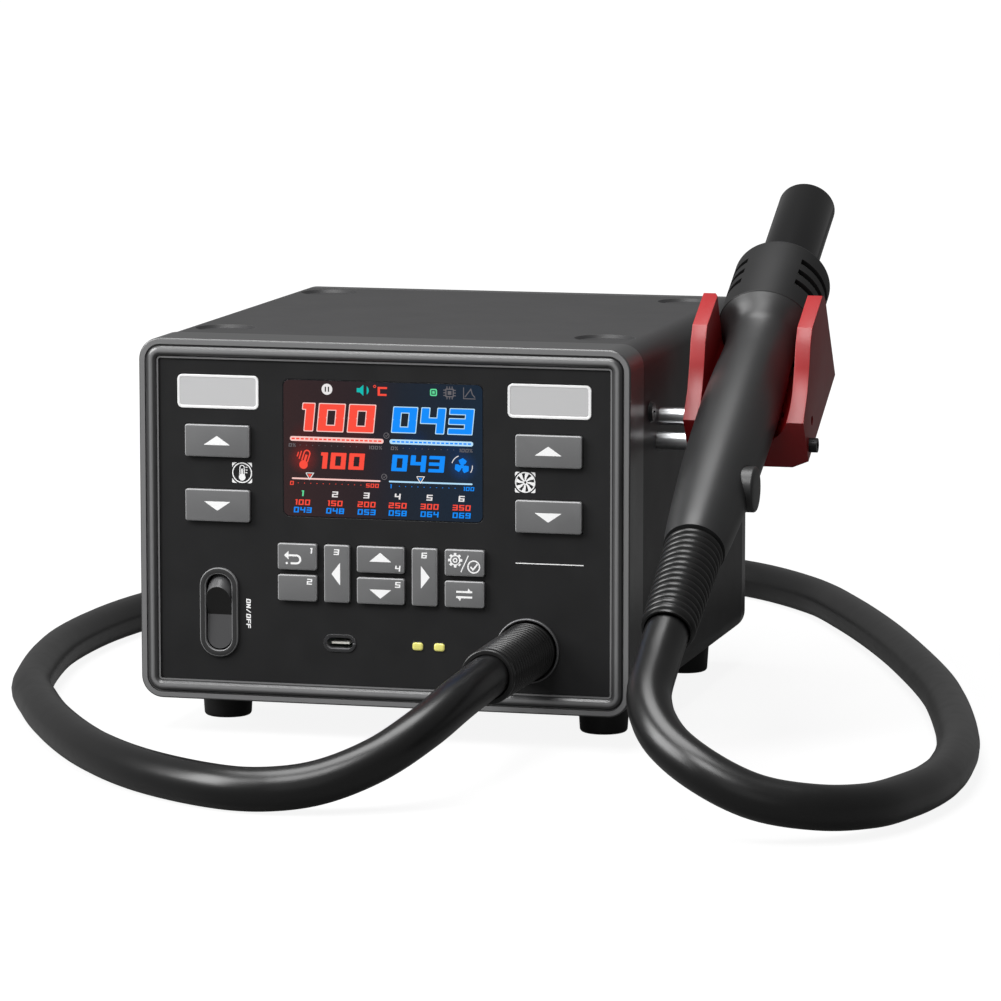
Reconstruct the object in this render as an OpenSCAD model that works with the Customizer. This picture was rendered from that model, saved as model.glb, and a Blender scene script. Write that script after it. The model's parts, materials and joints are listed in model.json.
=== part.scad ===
/* [Case] */
// Width of the case
case_w = 190; // [184:1:220]
// Depth of the case from front to back
case_d = 213; // [205:1:260]
// Height of the case without its feet
case_h = 137; // [132:1:160]
// Outer corner radius of the case
case_r = 8; // [7.9:0.1:10]
// Wall of the case sleeve
case_wall = 2.5; // [2.2:0.1:3]
// Height of the feet
foot_h = 14; // [10:1:20]
// Radius of the feet at the case
foot_r = 10; // [8:0.1:11]
// Distance from a side of the case to the feet
foot_inset_x = 20; // [16:1:26]
// Distance from the front of the case to the front feet
foot_inset_front = 45; // [40:1:55]
// Distance from the back of the case to the rear feet
foot_inset_rear = 25; // [25:1:40]
// Depth of the round dimples on top that take the feet of a second unit
dimple_depth = 1.2; // [0.6:0.1:1.5]

/* [Front] */
// How far the front frame wraps back along the sides
frame_wrap = 22; // [18:1:30]
// How far the front frame stands out past the case all round
frame_proud = 0.4; // [0:0.1:0.6]
// Width of the moulded border around the front panel
border_w = 7.2; // [7:0.1:7.6]
// Thickness of the front panel
panel_t = 3; // [2.5:0.25:3.5]
// Gap between the display window and the side keys
column_gap = 12.8; // [12:0.2:16]
// Distance from the top of the case to the display window
screen_top = 14; // [13:0.5:18]
// Gap between the display window and the keys under it
screen_gap = 10.1; // [9:0.1:16]
// Width of the bare plates in the upper corners
plate_w = 32; // [24:0.5:34]
// Height of the bare plates
plate_h = 12.8; // [9:0.2:13]
// Width of the keys in the side columns
side_key_w = 25.4; // [20:0.2:26]
// Height of the keys in the side columns
side_key_h = 12.2; // [10:0.2:13]
// Height of one key row under the display
row_h = 10; // [8:0.2:10.2]
// Gap between keys in one row
key_gap = 2.9; // [2.7:0.1:3.2]
// Gap between the two key rows
row_gap = 1.9; // [1.8:0.1:2.4]
// How far the keys stand out of the panel
key_proud = 2; // [1.6:0.1:2.6]
// How far a key can be pressed
key_travel = 1; // [0.6:0.1:1.2]
// Width of the power rocker's bezel
rocker_w = 15; // [14.6:0.2:17]
// Height of the power rocker's bezel
rocker_h = 34; // [31:0.5:36]
// Angle between the two halves of the rocker
rocker_angle = 17; // [12:1:20]

/* [Hose] */
// Diameter of the air hose
hose_d = 16; // [13:0.5:17]
// Length of the ribbed sleeve in front of the panel
sleeve_len = 60; // [50:0.5:66]
// Radius of the ribbed sleeve at the panel
sleeve_r = 10.9; // [10:0.1:11.1]

/* [Holder] */
// Width of the handset holder
holder_w = 46; // [44:0.5:52]
// Width of the holder's open slot
slot_w = 34.6; // [34:0.2:36]
// Length of the standoffs between case and holder
standoff_len = 12.5; // [10:0.5:16]
// Radius of the standoffs
standoff_r = 3.4; // [2.8:0.1:3.6]

/* [Handset] */
// Angle of the handset above the horizontal
tilt = 27.6; // [24:0.1:31]
// Outer diameter of the heater tube
tube_d = 22.4; // [20:0.1:23]
// Wall of the heater tube
tube_wall = 0.7; // [0.5:0.1:1]
// Length of the heater tube in front of the collar
tube_len = 53; // [40:1:70]
// Radius of the collar
collar_r = 18.8; // [18:0.1:18.9]
// Length of the collar
collar_len = 36.2; // [32:0.2:42]
// Length of the ribbed boot behind the handle
boot_len = 50; // [40:1:50]
// Radius of the push button on the handle
button_r = 8.5; // [7:0.1:9]
// Thickness of the handle's wall
handle_wall = 2; // [1.5:0.1:2.4]

/* [Hidden] */

$fn = 64;
eps = 0.01;
fit = 0.1;            // clearance of fixed pieces
slip = 0.25;          // clearance round a key
run_fit = 0.05;       // radial clearance of a running shaft

key_colour = [0.42, 0.43, 0.44];
panel_colour = [0.12, 0.12, 0.12];
case_colour = [0.16, 0.17, 0.17];
rubber_colour = [0.1, 0.1, 0.1];
board_colour = [0.1, 0.35, 0.2];
steel_colour = [0.7, 0.71, 0.72];

y_front = -case_d / 2;
y_rear = case_d / 2;
z_base = foot_h;
z_top = foot_h + case_h;
z_mid = foot_h + case_h / 2;

panel_w = case_w - 2 * border_w - 2 * fit;
panel_h = case_h - 2 * border_w - 2 * fit;
panel_sink = 1;
panel_face = y_front + panel_sink;
panel_back = panel_face + panel_t;
ledge_t = 2;
ledge_w = 2.3;

// heights on the front, measured from the case's top or bottom
row_base = z_base + 39;
row_top = row_base + 2 * row_h + row_gap;
column_x = case_w / 2 - 30.6;
screen_w = 2 * (column_x - side_key_w / 2 - column_gap);
screen_h = z_top - screen_top - row_top - screen_gap;
screen_z = z_top - screen_top - screen_h / 2;
plate_z = z_top - 19.6;
side_up_z = z_top - 38.1;
side_down_z = z_top - 62.7;
port_z = z_base + 23.3;
rocker_z = z_base + 33.4;
usb_x = -17;
lens_x = [13.4, 21.9];
gland_x = 56;

// keys under the display, in one row from left to right
end_key_w = 15.3;
arrow_key_w = 9.9;
mid_key_w = 18.5;
mid_x = -0.5;
arrow_dx = mid_key_w / 2 + key_gap + arrow_key_w / 2;
end_dx = arrow_dx + arrow_key_w / 2 + key_gap + end_key_w / 2;
upper_z = row_top - row_h / 2;
lower_z = row_base + row_h / 2;
tall_h = row_top - row_base;
tall_z = (row_top + row_base) / 2;

KEYS = [
  [-column_x, side_up_z, side_key_w, side_key_h],
  [-column_x, side_down_z, side_key_w, side_key_h],
  [column_x, side_up_z, side_key_w, side_key_h],
  [column_x, side_down_z, side_key_w, side_key_h],
  [mid_x - end_dx, upper_z, end_key_w, row_h],
  [mid_x - end_dx, lower_z, end_key_w, row_h],
  [mid_x - arrow_dx, tall_z, arrow_key_w, tall_h],
  [mid_x, upper_z, mid_key_w, row_h],
  [mid_x, lower_z, mid_key_w, row_h],
  [mid_x + arrow_dx, tall_z, arrow_key_w, tall_h],
  [mid_x + end_dx, upper_z, end_key_w, row_h],
  [mid_x + end_dx, lower_z, end_key_w, row_h]
];
key_r = 0.8;
key_edge = 0.6;
key_flange = 0.6;
key_flange_t = 1.4;
key_stem_r = 2;
switch_w = 6;
switch_h = 3.5;
plunger_r = 1.7;
plunger_h = 1;

// the printed board behind the front panel
board_t = 1.6;
board_gap = 10.5;
board_front = panel_back + board_gap;
board_back = board_front + board_t;
post_r = 2.5;
post_x = screen_w / 2 + column_gap / 2 + 1.1;
post_z = [screen_z + screen_h / 2, screen_z - screen_h / 2];
key_stem_end = board_front - switch_h - plunger_h - key_travel - 0.3;

// chassis
spigot_t = 1.5;
frame_wall = 1.6;
frame_split = 0.3;
spigot_in = 8;
rear_wrap = 8;
tray_t = 1.2;
boss_h = 3;
tray_w = case_w - 2 * (frame_wall + fit + spigot_t + 0.2);
tray_z = z_base + case_wall + boss_h;
tray_top = tray_z + tray_t;
tray_front = board_back + 12;
tray_rear = y_rear - 16;
tray_side_h = case_h - 26;
screw_r = 1.5;
hole_r = screw_r + fit;
side_screw_in = 35.5;
side_screw_z = z_top - 26.5;
side_screw_y = [y_front + side_screw_in, y_rear - side_screw_in];
foot_x = case_w / 2 - foot_inset_x;
foot_y = [y_front + foot_inset_front, y_rear - foot_inset_rear];
foot_screw_r = 1.9;

// rocker
rocker_rim = 2.4;
rocker_open_w = rocker_w - 2 * rocker_rim;
rocker_open_h = rocker_h - 2 * rocker_rim;
rocker_axis_y = panel_face + 2.2;
rocker_proud = 1.2;
rocker_gap = 0.3;
rocker_wall = 1.4;
rocker_depth = 20;
pivot_r = 1.2;

// handset and holder
holder_x = case_w / 2 + standoff_len + holder_w / 2;
seat_shift = 1.2;     // the handset's axis stands this much nearer the case than the holder's middle
handset_back = 83.1;
handset_drop = 0.2;
handset_x = holder_x - seat_shift;
handset_y = y_front + handset_back;
handset_z = z_top - handset_drop;
tube_r = tube_d / 2;
collar_wall = 2;
slot_half = slot_w / 2;
handle_len = 142.8;
button_z = -104;
button_face = 15.9;
button_travel = 1.2;
button_boss_x = 6.6;
boot_r = 10.9;
boot_end_r = 9.9;
boot_ribs = 15;
boot_end_z = -handle_len - boot_len;
holder_rear = 5.5;
holder_front = -53;
holder_drop = 22.7;
holder_rise = 18.3;
slot_floor = 15.5;
standoff_at = [[-41, -12.2], [-48.7, -18.1]];

// how the handle swells behind the collar: distance from the collar, radius
handle_form = [
  [0, 18.5], [3, 17], [8, 14.2], [13, 13.4], [22, 13.5], [36, 14.3], [60, 14.9],
  [92, 14.5], [118, 13.3], [134, 12.3], [handle_len, 11.4]
];

// centre line of the hose from the handset to the case
hose_end_gap = 0.3;
route = [
  [129.3, -210, 53], [131, -230, 43], [140, -246, 33], [156, -256, 24], [175, -257, 16],
  [195, -249, 12], [210, -231, 10], [218, -205, 9], [222, -180, 8.3], [223, -150, 8],
  [219, -105, 8], [208, -50, 8], [192, 12, 8], [171, 74, 8], [147, 136, 8],
  [121, 194, 8], [97, 238, 8], [62, 277, 8], [20, 298, 8], [-28, 303, 8],
  [-76, 288, 8], [-116, 253, 8], [-144, 204, 8], [-166, 126, 8], [-175, 38, 8],
  [-168, -12, 8], [-156, -56, 8], [-138, -100, 8], [-115, -146, 8], [-87, -189, 8],
  [-58, -221, 8], [-27, -242, 8], [-5, -247, 8.3], [15, -243, 11], [33, -233, 18],
  [46, -218, 27], [53, -198, 34], [56, -173, 37.3]
];
hose_sides = 10;
hose_steps = 2;
seat_depth = 8;
sleeve_end = panel_face - sleeve_len;
hose_start = handset_point([0, 0, boot_end_z - hose_end_gap]);
hose_finish = [gland_x, sleeve_end + seat_depth, port_z];

function handset_point(p) = [
  handset_x + p[0],
  handset_y + p[1] * sin(tilt) + p[2] * cos(tilt),
  handset_z - p[1] * cos(tilt) + p[2] * sin(tilt)
];

// point between b and c on a smooth curve through a, b, c and d
function blend4(a, b, c, d, t) =
  0.5 * (2 * b + (c - a) * t + (2 * a - 5 * b + 4 * c - d) * t * t
         + (3 * b - a - 3 * c + d) * t * t * t);
function clamped(list, i) = list[max(0, min(len(list) - 1, i))];
function before(list) = 2 * list[0] - list[1];
function after(list) = 2 * list[len(list) - 1] - list[len(list) - 2];
function padded(list) = concat([before(list)], list, [after(list)]);
function smooth(list, steps) =
  let (p = padded(list), n = len(list))
  concat(
    [for (i = [1 : n - 1], k = [0 : steps - 1])
      blend4(p[i - 1], p[i], p[i + 1], p[i + 2], k / steps)],
    [list[n - 1]]
  );
function unit(v) = v / norm(v);

// ---------------------------------------------------------------- shapes

module rrect(w, h, r) {
  square([w - 2 * r, h], center = true);
  square([w, h - 2 * r], center = true);
  for (sx = [-1, 1], sy = [-1, 1])
    translate([sx * (w / 2 - r), sy * (h / 2 - r)])
      circle(r);
}

module stadium(w, h) {
  square([w, h - w], center = true);
  for (s = [-1, 1])
    translate([0, s * (h - w) / 2])
      circle(w / 2);
}

// a flat shape drawn in X and Z, extruded from y0 back to y1
module along_y(y0, y1) {
  translate([0, y1, 0])
    rotate([90, 0, 0])
      linear_extrude(y1 - y0)
        children();
}

// a flat shape drawn in Y and Z, extruded from x0 to x1
module along_x(x0, x1) {
  translate([x0, 0, 0])
    rotate([90, 0, 90])
      linear_extrude(x1 - x0)
        children();
}

// a round bar from y0 back to y1
module y_rod(x, y0, y1, z, r) {
  translate([x, y1, z])
    rotate([90, 0, 0])
      cylinder(h = y1 - y0, r = r);
}

// a round bar from x0 to x1
module x_rod(x0, x1, y, z, r) {
  translate([x0, y, z])
    rotate([0, 90, 0])
      cylinder(h = x1 - x0, r = r);
}

// an edge profile, drawn as distance inwards and depth, run round a rounded rectangle
module border(w, h, r) {
  for (i = [0 : 3]) {
    run = i % 2 == 0 ? h - 2 * r : w - 2 * r;
    off = i % 2 == 0 ? w / 2 - r : h / 2 - r;
    rotate([0, 0, 90 * i]) {
      translate([off, run / 2, 0])
        rotate([90, 0, 0])
          linear_extrude(run)
            translate([r, 0])
              mirror([1, 0])
                children();
      translate([off, run / 2, 0])
        rotate_extrude(angle = 90)
          translate([r, 0])
            mirror([1, 0])
              children();
    }
  }
}

// puts a border's depth along +Y, behind the plane y
module facing_front(y) {
  translate([0, y, z_mid])
    rotate([-90, 0, 0])
      children();
}

module facing_rear(y) {
  translate([0, y, z_mid])
    rotate([90, 0, 0])
      children();
}

module on_handset() {
  translate([handset_x, handset_y, handset_z])
    rotate([tilt - 90, 0, 0])
      children();
}

// ---------------------------------------------------------------- case

module case_ring(inset, t, y0, y1) {
  along_y(y0, y1)
    translate([0, z_mid])
      difference() {
        rrect(case_w - 2 * inset, case_h - 2 * inset, case_r - inset);
        rrect(case_w - 2 * inset - 2 * t, case_h - 2 * inset - 2 * t, case_r - inset - t);
      }
}

sleeve_y0 = y_front + frame_wrap + frame_split;
sleeve_y1 = y_rear - rear_wrap - frame_split;

module case_shell() {
  spigot_at = frame_wall + fit;
  color(case_colour)
    difference() {
      union() {
        case_ring(0, case_wall, sleeve_y0, sleeve_y1);
        case_ring(spigot_at, spigot_t, sleeve_y0 - spigot_in, sleeve_y0 + 4);
        case_ring(spigot_at, spigot_t, sleeve_y1 - 4, y_rear - lug_back - 0.3);
        for (sx = [-1, 1], y = foot_y)
          translate([sx * foot_x, y, z_base + 1])
            cylinder(h = case_wall + boss_h - 1, r = 5);
      }
      for (sx = [-1, 1], y = foot_y) {
        translate([sx * foot_x, y, z_base - 1])
          cylinder(h = case_wall + boss_h + 2, r = foot_screw_r + fit);
        translate([sx * foot_x, y, z_top - dimple_depth])
          cylinder(h = dimple_depth + eps, r1 = foot_r + 0.6, r2 = foot_r + 1.7);
      }
      for (sx = [-1, 1], y = side_screw_y)
        x_rod(sx * (case_w / 2 - 2) - 4, sx * (case_w / 2 - 2) + 4, y, side_screw_z, hole_r + 0.1);
      for (p = standoff_at)
        standoff_bore(p, case_w / 2 - 6, case_w / 2 + 1, hole_r + 0.1);
    }
}

// a bore along X at a standoff's axis
module standoff_bore(p, x0, x1, r) {
  c = handset_point([0, -p[1], p[0]]);
  x_rod(x0, x1, c[1], c[2], r);
}

edge_r = 0.7;
lip_w = 2.3;          // flat lip outside the bead, past the case
rim_w = 0.65;         // thin rim round the panel
rim_sink = 0.3;
bead_r = 2.1;
bead_at = [4.45, 1.2];
pocket_y = panel_sink + panel_t + 0.5;

module front_border() {
  translate([edge_r - frame_proud, edge_r])
    circle(edge_r);
  translate(bead_at)
    circle(bead_r);
  polygon([
    [-frame_proud, edge_r], [edge_r - frame_proud, 0], [lip_w - frame_proud, 0],
    [lip_w - frame_proud, bead_at[1]], [border_w - rim_w, bead_at[1]],
    [border_w - rim_w, rim_sink], [border_w, rim_sink], [border_w, pocket_y],
    [frame_wall, pocket_y], [frame_wall, frame_wrap], [-frame_proud, frame_wrap]
  ]);
}

module front_frame() {
  color(case_colour) {
    facing_front(y_front)
      border(case_w, case_h, case_r)
        front_border();
    along_y(panel_back + eps, panel_back + ledge_t)
      translate([0, z_mid])
        difference() {
          rrect(case_w - 2 * frame_wall + 0.4, case_h - 2 * frame_wall + 0.4, case_r - frame_wall);
          square([case_w - 2 * (border_w + ledge_w), case_h - 2 * (border_w + ledge_w)], center = true);
        }
  }
}

rear_lip_r = 1.9;
rear_lip_w = 5;
rear_plate_t = 2;

module rear_border() {
  intersection() {
    translate([rear_lip_r, rear_lip_r])
      circle(rear_lip_r);
    square([rear_lip_r, rear_lip_r]);
  }
  polygon([
    [rear_lip_r, 0], [rear_lip_w, 0], [rear_lip_w, rear_plate_t + 1],
    [frame_wall, rear_plate_t + 1], [frame_wall, rear_wrap], [0, rear_wrap],
    [0, rear_lip_r], [rear_lip_r, rear_lip_r]
  ]);
}

lug_back = 5;
lug_w = 14.3;
rear_screw_x = case_w / 2 - 11;
rear_screw_z = [z_base + 11, z_top - 11];

module rear_frame() {
  color(case_colour)
    difference() {
      union() {
        facing_rear(y_rear)
          border(case_w, case_h, case_r)
            rear_border();
        for (sx = [-1, 1], z = rear_screw_z)
          along_y(y_rear - lug_back, y_rear - rear_plate_t - 1)
            translate([sx * (case_w / 2 - frame_wall - lug_w / 2 + 0.4), z])
              square([lug_w, 10], center = true);
      }
      for (sx = [-1, 1], z = rear_screw_z)
        y_rod(sx * rear_screw_x, y_rear - 8, y_rear - 2, z, hole_r);
    }
}

vent_w = 3;
vent_h = 26;
vent_pitch = 6.5;
inlet_x = -52;
inlet_z = z_base + 38;
inlet_w = 27.2;
inlet_h = 19.6;

module rear_panel() {
  color(case_colour)
    difference() {
      along_y(y_rear - rear_plate_t - 1, y_rear - 1)
        translate([0, z_mid])
          rrect(case_w - 2 * (rear_lip_w + fit), case_h - 2 * (rear_lip_w + fit), 3);
      along_y(y_rear - rear_plate_t - 2, y_rear)
        translate([inlet_x, inlet_z])
          rrect(inlet_w + 2 * fit, inlet_h + 2 * fit, 2);
      for (i = [0 : 9], z = [z_base + 40, z_top - 35])
        along_y(y_rear - rear_plate_t - 2, y_rear)
          translate([2 + i * vent_pitch, z])
            stadium(vent_w, vent_h);
      for (sx = [-1, 1], z = rear_screw_z)
        y_rod(sx * rear_screw_x, y_rear - rear_plate_t - 2, y_rear, z, hole_r + 0.1);
    }
}

// a pan-headed screw pointing back along -Y from its head
module pan_screw(head_r, head_h, len, r) {
  difference() {
    union() {
      cylinder(h = head_h, r1 = head_r, r2 = head_r - 0.6);
      translate([0, 0, -len])
        cylinder(h = len + eps, r = r);
    }
    for (a = [0, 90])
      rotate([0, 0, a])
        translate([0, 0, head_h])
          cube([head_r * 1.1, 0.8, 1.6], center = true);
  }
}

module rear_screws() {
  color(steel_colour)
    for (sx = [-1, 1], z = rear_screw_z)
      translate([sx * rear_screw_x, y_rear - 1, z])
        rotate([-90, 0, 0])
          pan_screw(2.8, 1.8, 5.5, screw_r);
}

module side_screws() {
  color(rubber_colour)
    for (sx = [-1, 1], y = side_screw_y)
      translate([sx * case_w / 2, y, side_screw_z])
        rotate([0, sx * 90, 0])
          pan_screw(4, 1.4, case_w / 2 - tray_w / 2 + 3, screw_r);
}

// the folded tray that carries everything inside the sleeve
module chassis_tray() {
  color(steel_colour)
    difference() {
      along_y(tray_front, tray_rear)
        difference() {
          translate([0, tray_z + tray_side_h / 2])
            square([tray_w, tray_side_h], center = true);
          translate([0, tray_top + tray_side_h / 2])
            square([tray_w - 2 * tray_t, tray_side_h], center = true);
        }
      for (sx = [-1, 1], y = foot_y)
        translate([sx * foot_x, y, tray_z - 1])
          cylinder(h = tray_t + 2, r = foot_screw_r + 2);
      for (sx = [-1, 1], y = side_screw_y)
        x_rod(sx * tray_w / 2 - 3, sx * tray_w / 2 + 3, y, side_screw_z, hole_r);
      for (p = standoff_at)
        standoff_bore(p, tray_w / 2 - 3, tray_w / 2 + 3, hole_r + 0.1);
    }
}

foot_taper = 0.8;
sole_r = 1.5;

module feet() {
  color(rubber_colour)
    for (sx = [-1, 1], y = foot_y)
      translate([sx * foot_x, y, 0])
        difference() {
          rotate_extrude()
            polygon(concat(
              [[0, 0], [foot_r - foot_taper - sole_r, 0]],
              [for (a = [-75 : 15 : 0])
                [foot_r - foot_taper - sole_r * (1 - cos(a)), sole_r * (1 + sin(a))]],
              [[foot_r, foot_h], [0, foot_h]]
            ));
          translate([0, 0, -1])
            cylinder(h = foot_h + 2, r = foot_screw_r + fit);
          translate([0, 0, -1])
            cylinder(h = foot_h - 4, r = 4.2);
        }
}

module foot_screws() {
  head_z = foot_h - 5;
  color(steel_colour)
    for (sx = [-1, 1], y = foot_y)
      translate([sx * foot_x, y, head_z])
        rotate([180, 0, 0])
          pan_screw(3.8, 2.2, foot_h - head_z + case_wall + boss_h + 1, foot_screw_r);
}

// ---------------------------------------------------------------- front panel

window_gap = 0.15;
window_t = 1.6;
window_r = 2.5;

module panel_holes(y0, y1) {
  for (k = KEYS)
    along_y(y0, y1)
      translate([k[0], k[1]])
        rrect(k[2] + 2 * slip, k[3] + 2 * slip, key_r + slip);
  along_y(y0, y1)
    translate([-column_x, rocker_z])
      stadium(rocker_open_w + 2 * rocker_wall + 2 * fit, rocker_open_h + 2 * rocker_wall + 2 * fit);
  along_y(y0, y1)
    translate([usb_x, port_z])
      rotate([0, 0, 90])
        stadium(usb_h + 2 * fit, usb_w + 2 * fit);
  for (i = [0, 1])
    along_y(y0, y1)
      translate([lens_x[i], port_z])
        rrect(lens_w[i] + 2 * fit, lens_h + 2 * fit, 1.2 + fit);
  y_rod(gland_x, y0, y1, port_z, sleeve_r + 0.4);
}

module front_panel() {
  color(panel_colour)
    difference() {
      union() {
        along_y(panel_face, panel_back)
          translate([0, z_mid])
            rrect(panel_w, panel_h, 1.4);
        for (sx = [-1, 1], z = post_z)
          y_rod(sx * post_x, panel_back - eps, board_front, z, post_r);
      }
      panel_holes(panel_face - 1, panel_back + 1);
      along_y(panel_face - 1, panel_face + window_t + fit)
        translate([0, screen_z])
          rrect(screen_w + 2 * window_gap, screen_h + 2 * window_gap, window_r + window_gap);
      along_y(panel_face - 1, panel_back + 1)
        translate([0, screen_z])
          rrect(screen_w - 5, screen_h - 5, 1);
      for (sx = [-1, 1])
        along_y(panel_face - 1, panel_face + 0.5)
          translate([sx * column_x, plate_z])
            rrect(plate_w + 2 * fit, plate_h + 2 * fit, 2 + fit);
      for (sx = [-1, 1], z = post_z)
        y_rod(sx * post_x, board_front - 6, board_front + 1, z, 1.1);
    }
}

module display_window() {
  color([0.05, 0.06, 0.08])
    along_y(panel_face, panel_face + window_t)
      translate([0, screen_z])
        rrect(screen_w, screen_h, window_r);
}

module display_module() {
  color([0.2, 0.22, 0.25]) {
    along_y(panel_face + window_t + 0.2, panel_back + 0.1)
      translate([0, screen_z])
        rrect(screen_w - 6, screen_h - 6, 0.8);
    along_y(panel_back + 0.1, board_front)
      translate([0, screen_z])
        square([screen_w + 6, screen_h + 2], center = true);
  }
}

module name_plate(side) {
  color([0.72, 0.72, 0.73])
    difference() {
      along_y(panel_face - 0.3, panel_face + 0.5)
        translate([side * column_x, plate_z])
          rrect(plate_w, plate_h, 2);
      along_y(panel_face - 1, panel_face - 0.1)
        translate([side * column_x, plate_z])
          rrect(plate_w - 2, plate_h - 2, 1);
    }
}

module key_cap(k) {
  x = k[0];
  z = k[1];
  w = k[2];
  h = k[3];
  y0 = panel_face - key_proud;
  y1 = panel_back + key_flange_t;
  c = key_edge;
  color(key_colour) {
    intersection() {
      along_y(y0, y1)
        translate([x, z])
          rrect(w, h, key_r);
      along_x(x - w, x + w)
        polygon([[y0, z - h / 2 + c], [y0, z + h / 2 - c], [y0 + c, z + h / 2],
                 [y1, z + h / 2], [y1, z - h / 2], [y0 + c, z - h / 2]]);
      translate([0, 0, z - h])
        linear_extrude(2 * h)
          polygon([[x - w / 2 + c, y0], [x + w / 2 - c, y0], [x + w / 2, y0 + c],
                   [x + w / 2, y1], [x - w / 2, y1], [x - w / 2, y0 + c]]);
    }
    along_y(panel_back, y1)
      translate([x, z])
        rrect(w + 2 * key_flange, h + 2 * key_flange, key_r + key_flange);
    y_rod(x, y1 - eps, key_stem_end, z, key_stem_r);
  }
}

module key_switches() {
  color(steel_colour)
    for (k = KEYS) {
      along_y(board_front - switch_h, board_front)
        translate([k[0], k[1]])
          square([switch_w, switch_w], center = true);
      y_rod(k[0], board_front - switch_h - plunger_h, board_front - switch_h + eps, k[1], plunger_r);
    }
}

module control_board() {
  color(board_colour)
    difference() {
      along_y(board_front, board_back)
        difference() {
          union() {
            translate([0, (z_top - 9 + row_top + 5) / 2])
              square([2 * column_x + side_key_w, z_top - 9 - row_top - 5], center = true);
            translate([mid_x - end_dx - 12, port_z - 6])
              square([gland_x - 16 - (mid_x - end_dx - 12), row_top + 6 - port_z + 6]);
          }
          for (sx = [-1, 1], z = post_z)
            translate([sx * post_x, z])
              circle(1.3);
        }
    }
}

module board_screws() {
  color(steel_colour)
    for (sx = [-1, 1], z = post_z)
      translate([sx * post_x, board_back, z])
        rotate([-90, 0, 0])
          pan_screw(2.2, 1.4, 6, 1);
}

// ---------------------------------------------------------------- power rocker

module at_rocker() {
  translate([-column_x, 0, rocker_z])
    children();
}

module rocker_bezel() {
  color(rubber_colour)
    at_rocker()
      difference() {
        union() {
          along_y(panel_face - rocker_proud + 0.5, panel_face)
            stadium(rocker_w, rocker_h);
          along_y(panel_face - rocker_proud, panel_face)
            stadium(rocker_w - 1, rocker_h - 1);
        }
        along_y(panel_face - rocker_proud - 1, panel_face + 1)
          stadium(rocker_open_w, rocker_open_h);
      }
}

// the paddle's envelope, a barrel turned round the pivot's axis
module rocker_barrel(w, h) {
  rotate([0, 90, 0])
    rotate_extrude()
      intersection() {
        rotate([0, 0, 90])
          stadium(w, h);
        translate([0, -w])
          square([h, 2 * w]);
      }
}

module rocker_switch() {
  w = rocker_open_w - 2 * rocker_gap;
  h = rocker_open_h - 2 * rocker_gap;
  crease = panel_face + 0.3;
  low = crease - 0.6;
  color(rubber_colour)
    at_rocker() {
      intersection() {
        translate([0, rocker_axis_y, 0])
          rocker_barrel(w, h);
        along_x(-w, w)
          polygon([
            [crease, -1], [low - tan(rocker_angle) * h / 2, h / 2],
            [rocker_axis_y + 5, h / 2], [rocker_axis_y + 6, 0], [rocker_axis_y + 5, -h / 2],
            [low, -h / 2]
          ]);
      }
      x_rod(-w / 2 - 1.3, w / 2 + 1.3, rocker_axis_y, 0, pivot_r);
    }
}

module rocker_body() {
  color([0.08, 0.08, 0.08])
    at_rocker()
      difference() {
        along_y(panel_face, panel_face + rocker_depth)
          stadium(rocker_open_w + 2 * rocker_wall, rocker_open_h + 2 * rocker_wall);
        along_y(panel_face - 1, panel_face + 12)
          stadium(rocker_open_w, rocker_open_h);
        x_rod(-rocker_w, rocker_w, rocker_axis_y, 0, pivot_r + run_fit);
      }
}

// ---------------------------------------------------------------- ports

usb_w = 12.6;
usb_h = 6.6;
lens_w = [4.8, 3.9];
lens_h = 3.4;

module usb_shell() {
  color(steel_colour)
    translate([usb_x, 0, port_z])
      difference() {
        along_y(panel_face - 0.4, board_front)
          rotate([0, 0, 90])
            stadium(usb_h, usb_w);
        along_y(panel_face - 1, board_front - 2)
          rotate([0, 0, 90])
            stadium(usb_h - 2.6, usb_w - 2.6);
      }
}

module usb_tongue() {
  color([0.85, 0.85, 0.8])
    translate([usb_x, 0, port_z])
      along_y(panel_face + 1, board_front - 2)
        square([7, 0.8], center = true);
}

module indicator_lenses() {
  color([0.85, 0.86, 0.5])
    for (i = [0, 1])
      along_y(panel_face - 0.5, board_front)
        translate([lens_x[i], port_z])
          rrect(lens_w[i], lens_h, 1.2);
}

// ---------------------------------------------------------------- hose outlet

ring_r = 12.4;

module gland_ring() {
  color(steel_colour)
    translate([gland_x, panel_face, port_z])
      rotate([90, 0, 0])
        rotate_extrude()
          union() {
            translate([ring_r - 1, 0])
              square([1, 0.6]);
            translate([ring_r - 0.5, 0.6])
              circle(0.5);
          }
}

sleeve_tip_r = sleeve_r - 0.7;
sleeve_ribs = 17;
sleeve_tip = 3;       // plain collar at the sleeve's tip
rib_depth = 1;
sleeve_bore = hose_d / 2 - 1.2;

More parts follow.
